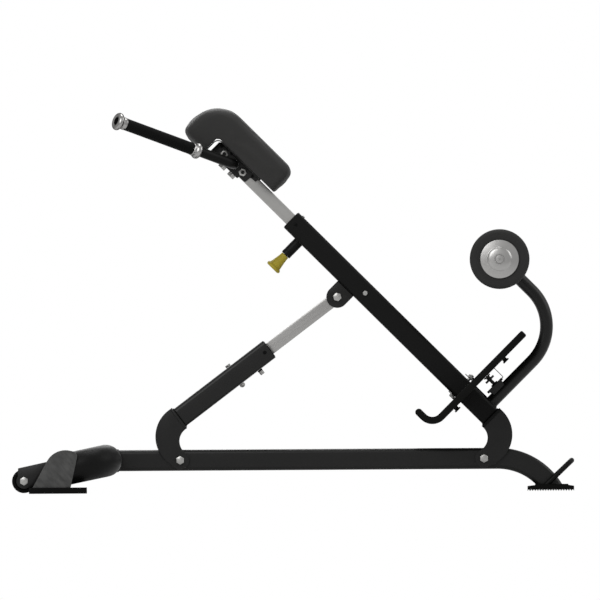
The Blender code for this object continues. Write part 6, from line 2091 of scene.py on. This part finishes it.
@dataclass
class Studio:
    """Camera, pale floor and backdrop, and soft light."""

    centre: Flat = (0.0192, 0.4556)
    frame_width: float = 1.422
    distance: float = 6.0
    roll: float = 0.0063
    lamps: tuple[tuple[str, Point, float, float], ...] = (
        ("key", (-1.6, -3.4, 2.6), 2.6, 110.0), ("top", (0.1, 0.3, 3.6), 1.5, 55.0),
        ("right", (3.4, -0.6, 2.2), 2.2, 45.0), ("back", (-0.6, 3.4, 2.6), 2.4, 60.0))

    def build(self) -> None:
        """Set up the camera, the floor and the lights."""
        self.place_camera()
        self.lay_floor()
        self.light()
        bpy.context.scene.view_settings.view_transform = 'Standard'

    def place_camera(self) -> None:
        """Place the far camera that sees the bench from its side."""
        lens = bpy.data.cameras.new("photo_camera")
        lens.type = 'ORTHO'
        lens.ortho_scale = self.frame_width
        lens.clip_end = 4 * self.distance
        camera = bpy.data.objects.new("photo_camera", lens)
        bpy.context.scene.collection.objects.link(camera)
        turn = Matrix(((cos(self.roll), sin(self.roll), 0.0), (0.0, 0.0, -1.0),
                       (-sin(self.roll), cos(self.roll), 0.0)))
        place = Matrix.Translation((self.centre[0], -self.distance, self.centre[1]))
        camera.matrix_world = place @ turn.to_4x4()
        bpy.context.scene.camera = camera

    def mask_seen_rays(self, recipe: Recipe) -> Socket:
        """Lay out a mask that is 1 for camera, glossy and transmission rays.

        Args:
            recipe: The node tree that gets the mask.

        Returns:
            The mask's output.
        """
        path = recipe.add('ShaderNodeLightPath')
        mask = path.outputs["Is Camera Ray"]
        for ray in ("Is Glossy Ray", "Is Transmission Ray"):
            both = recipe.add('ShaderNodeMath', operation='ADD', use_clamp=True)
            recipe.join(mask, both.inputs[0])
            recipe.join(path.outputs[ray], both.inputs[1])
            mask = both.outputs[0]
        return mask

    def lay_floor(self) -> None:
        """Lay the pale floor under the bench."""
        put_down()
        bpy.ops.mesh.primitive_plane_add(size=60.0, location=(0.0, 0.0, -0.0005))
        floor = bpy.context.object
        floor.name = "studio_floor"
        bake_place(floor)
        material = bpy.data.materials.new("studio_floor")
        material.use_nodes = True
        recipe = Recipe(material.node_tree)
        recipe.fill(material.node_tree.nodes["Principled BSDF"], Base_Color=(0.80, 0.80, 0.80, 1.0),
                    Roughness=1.0, Specular_IOR_Level=0.0, Emission_Color=(1.0, 1.0, 1.0, 1.0),
                    Emission_Strength=recipe.math('MULTIPLY', self.mask_seen_rays(recipe), 0.34))
        floor.data.materials.append(material)

    def light(self) -> None:
        """Light the bench softly from above and in front, under a pale sky."""
        world = bpy.data.worlds.new("studio")
        bpy.context.scene.world = world
        world.use_nodes = True
        recipe = Recipe(world.node_tree)
        strength = recipe.add('ShaderNodeMapRange', Value=self.mask_seen_rays(recipe), To_Min=0.42)
        recipe.fill(world.node_tree.nodes["Background"], Color=(1.0, 1.0, 1.0, 1.0),
                    Strength=strength.outputs["Result"])
        for name, place, size, power in self.lamps:
            lamp = bpy.data.lights.new(name, 'AREA')
            lamp.shape = 'SQUARE'
            lamp.size = size
            lamp.energy = power
            holder = bpy.data.objects.new(name, lamp)
            bpy.context.scene.collection.objects.link(holder)
            aim = Vector((0.0, 0.0, 0.4)) - Vector(place)
            turn = aim.to_track_quat('-Z', 'Y').to_matrix().to_4x4()
            holder.matrix_world = Matrix.Translation(place) @ turn


KEPT_NODES = {"pull_pin": Finish.ZINC, "pin_spring": Finish.ZINC, "roller_axle": Finish.TURNED_STEEL}


def main() -> None:
    """Load the frame, dress it piece by piece and set up the studio."""
    logging.basicConfig(level=logging.INFO, format="%(name)s: %(message)s")
    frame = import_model()
    shop = Shop()
    shop.mix_finishes()
    Studio().build()
    BaseTube().build(shop)
    RearEnd().build(shop)
    FrontFoot().build(shop)
    PivotBrackets("frame", TILT, Body.FRAME, -1, MainTube.foot, FRAME_RISE).build(shop)
    PivotBrackets("strut", STRUT, Body.SLEEVE, 1, Strut.foot, Strut.rise).build(shop)
    MainTube().build(shop)
    PullPin().build(shop)
    AnkleRollers().build(shop)
    FootPlatform().build(shop)
    Strut().build(shop)
    PadCarriage().build(shop)
    Handles().build(shop)
    HipPad().build(shop)
    shop.dress_nodes(frame["nodes"], KEPT_NODES)


if __name__ == "__main__":
    main()
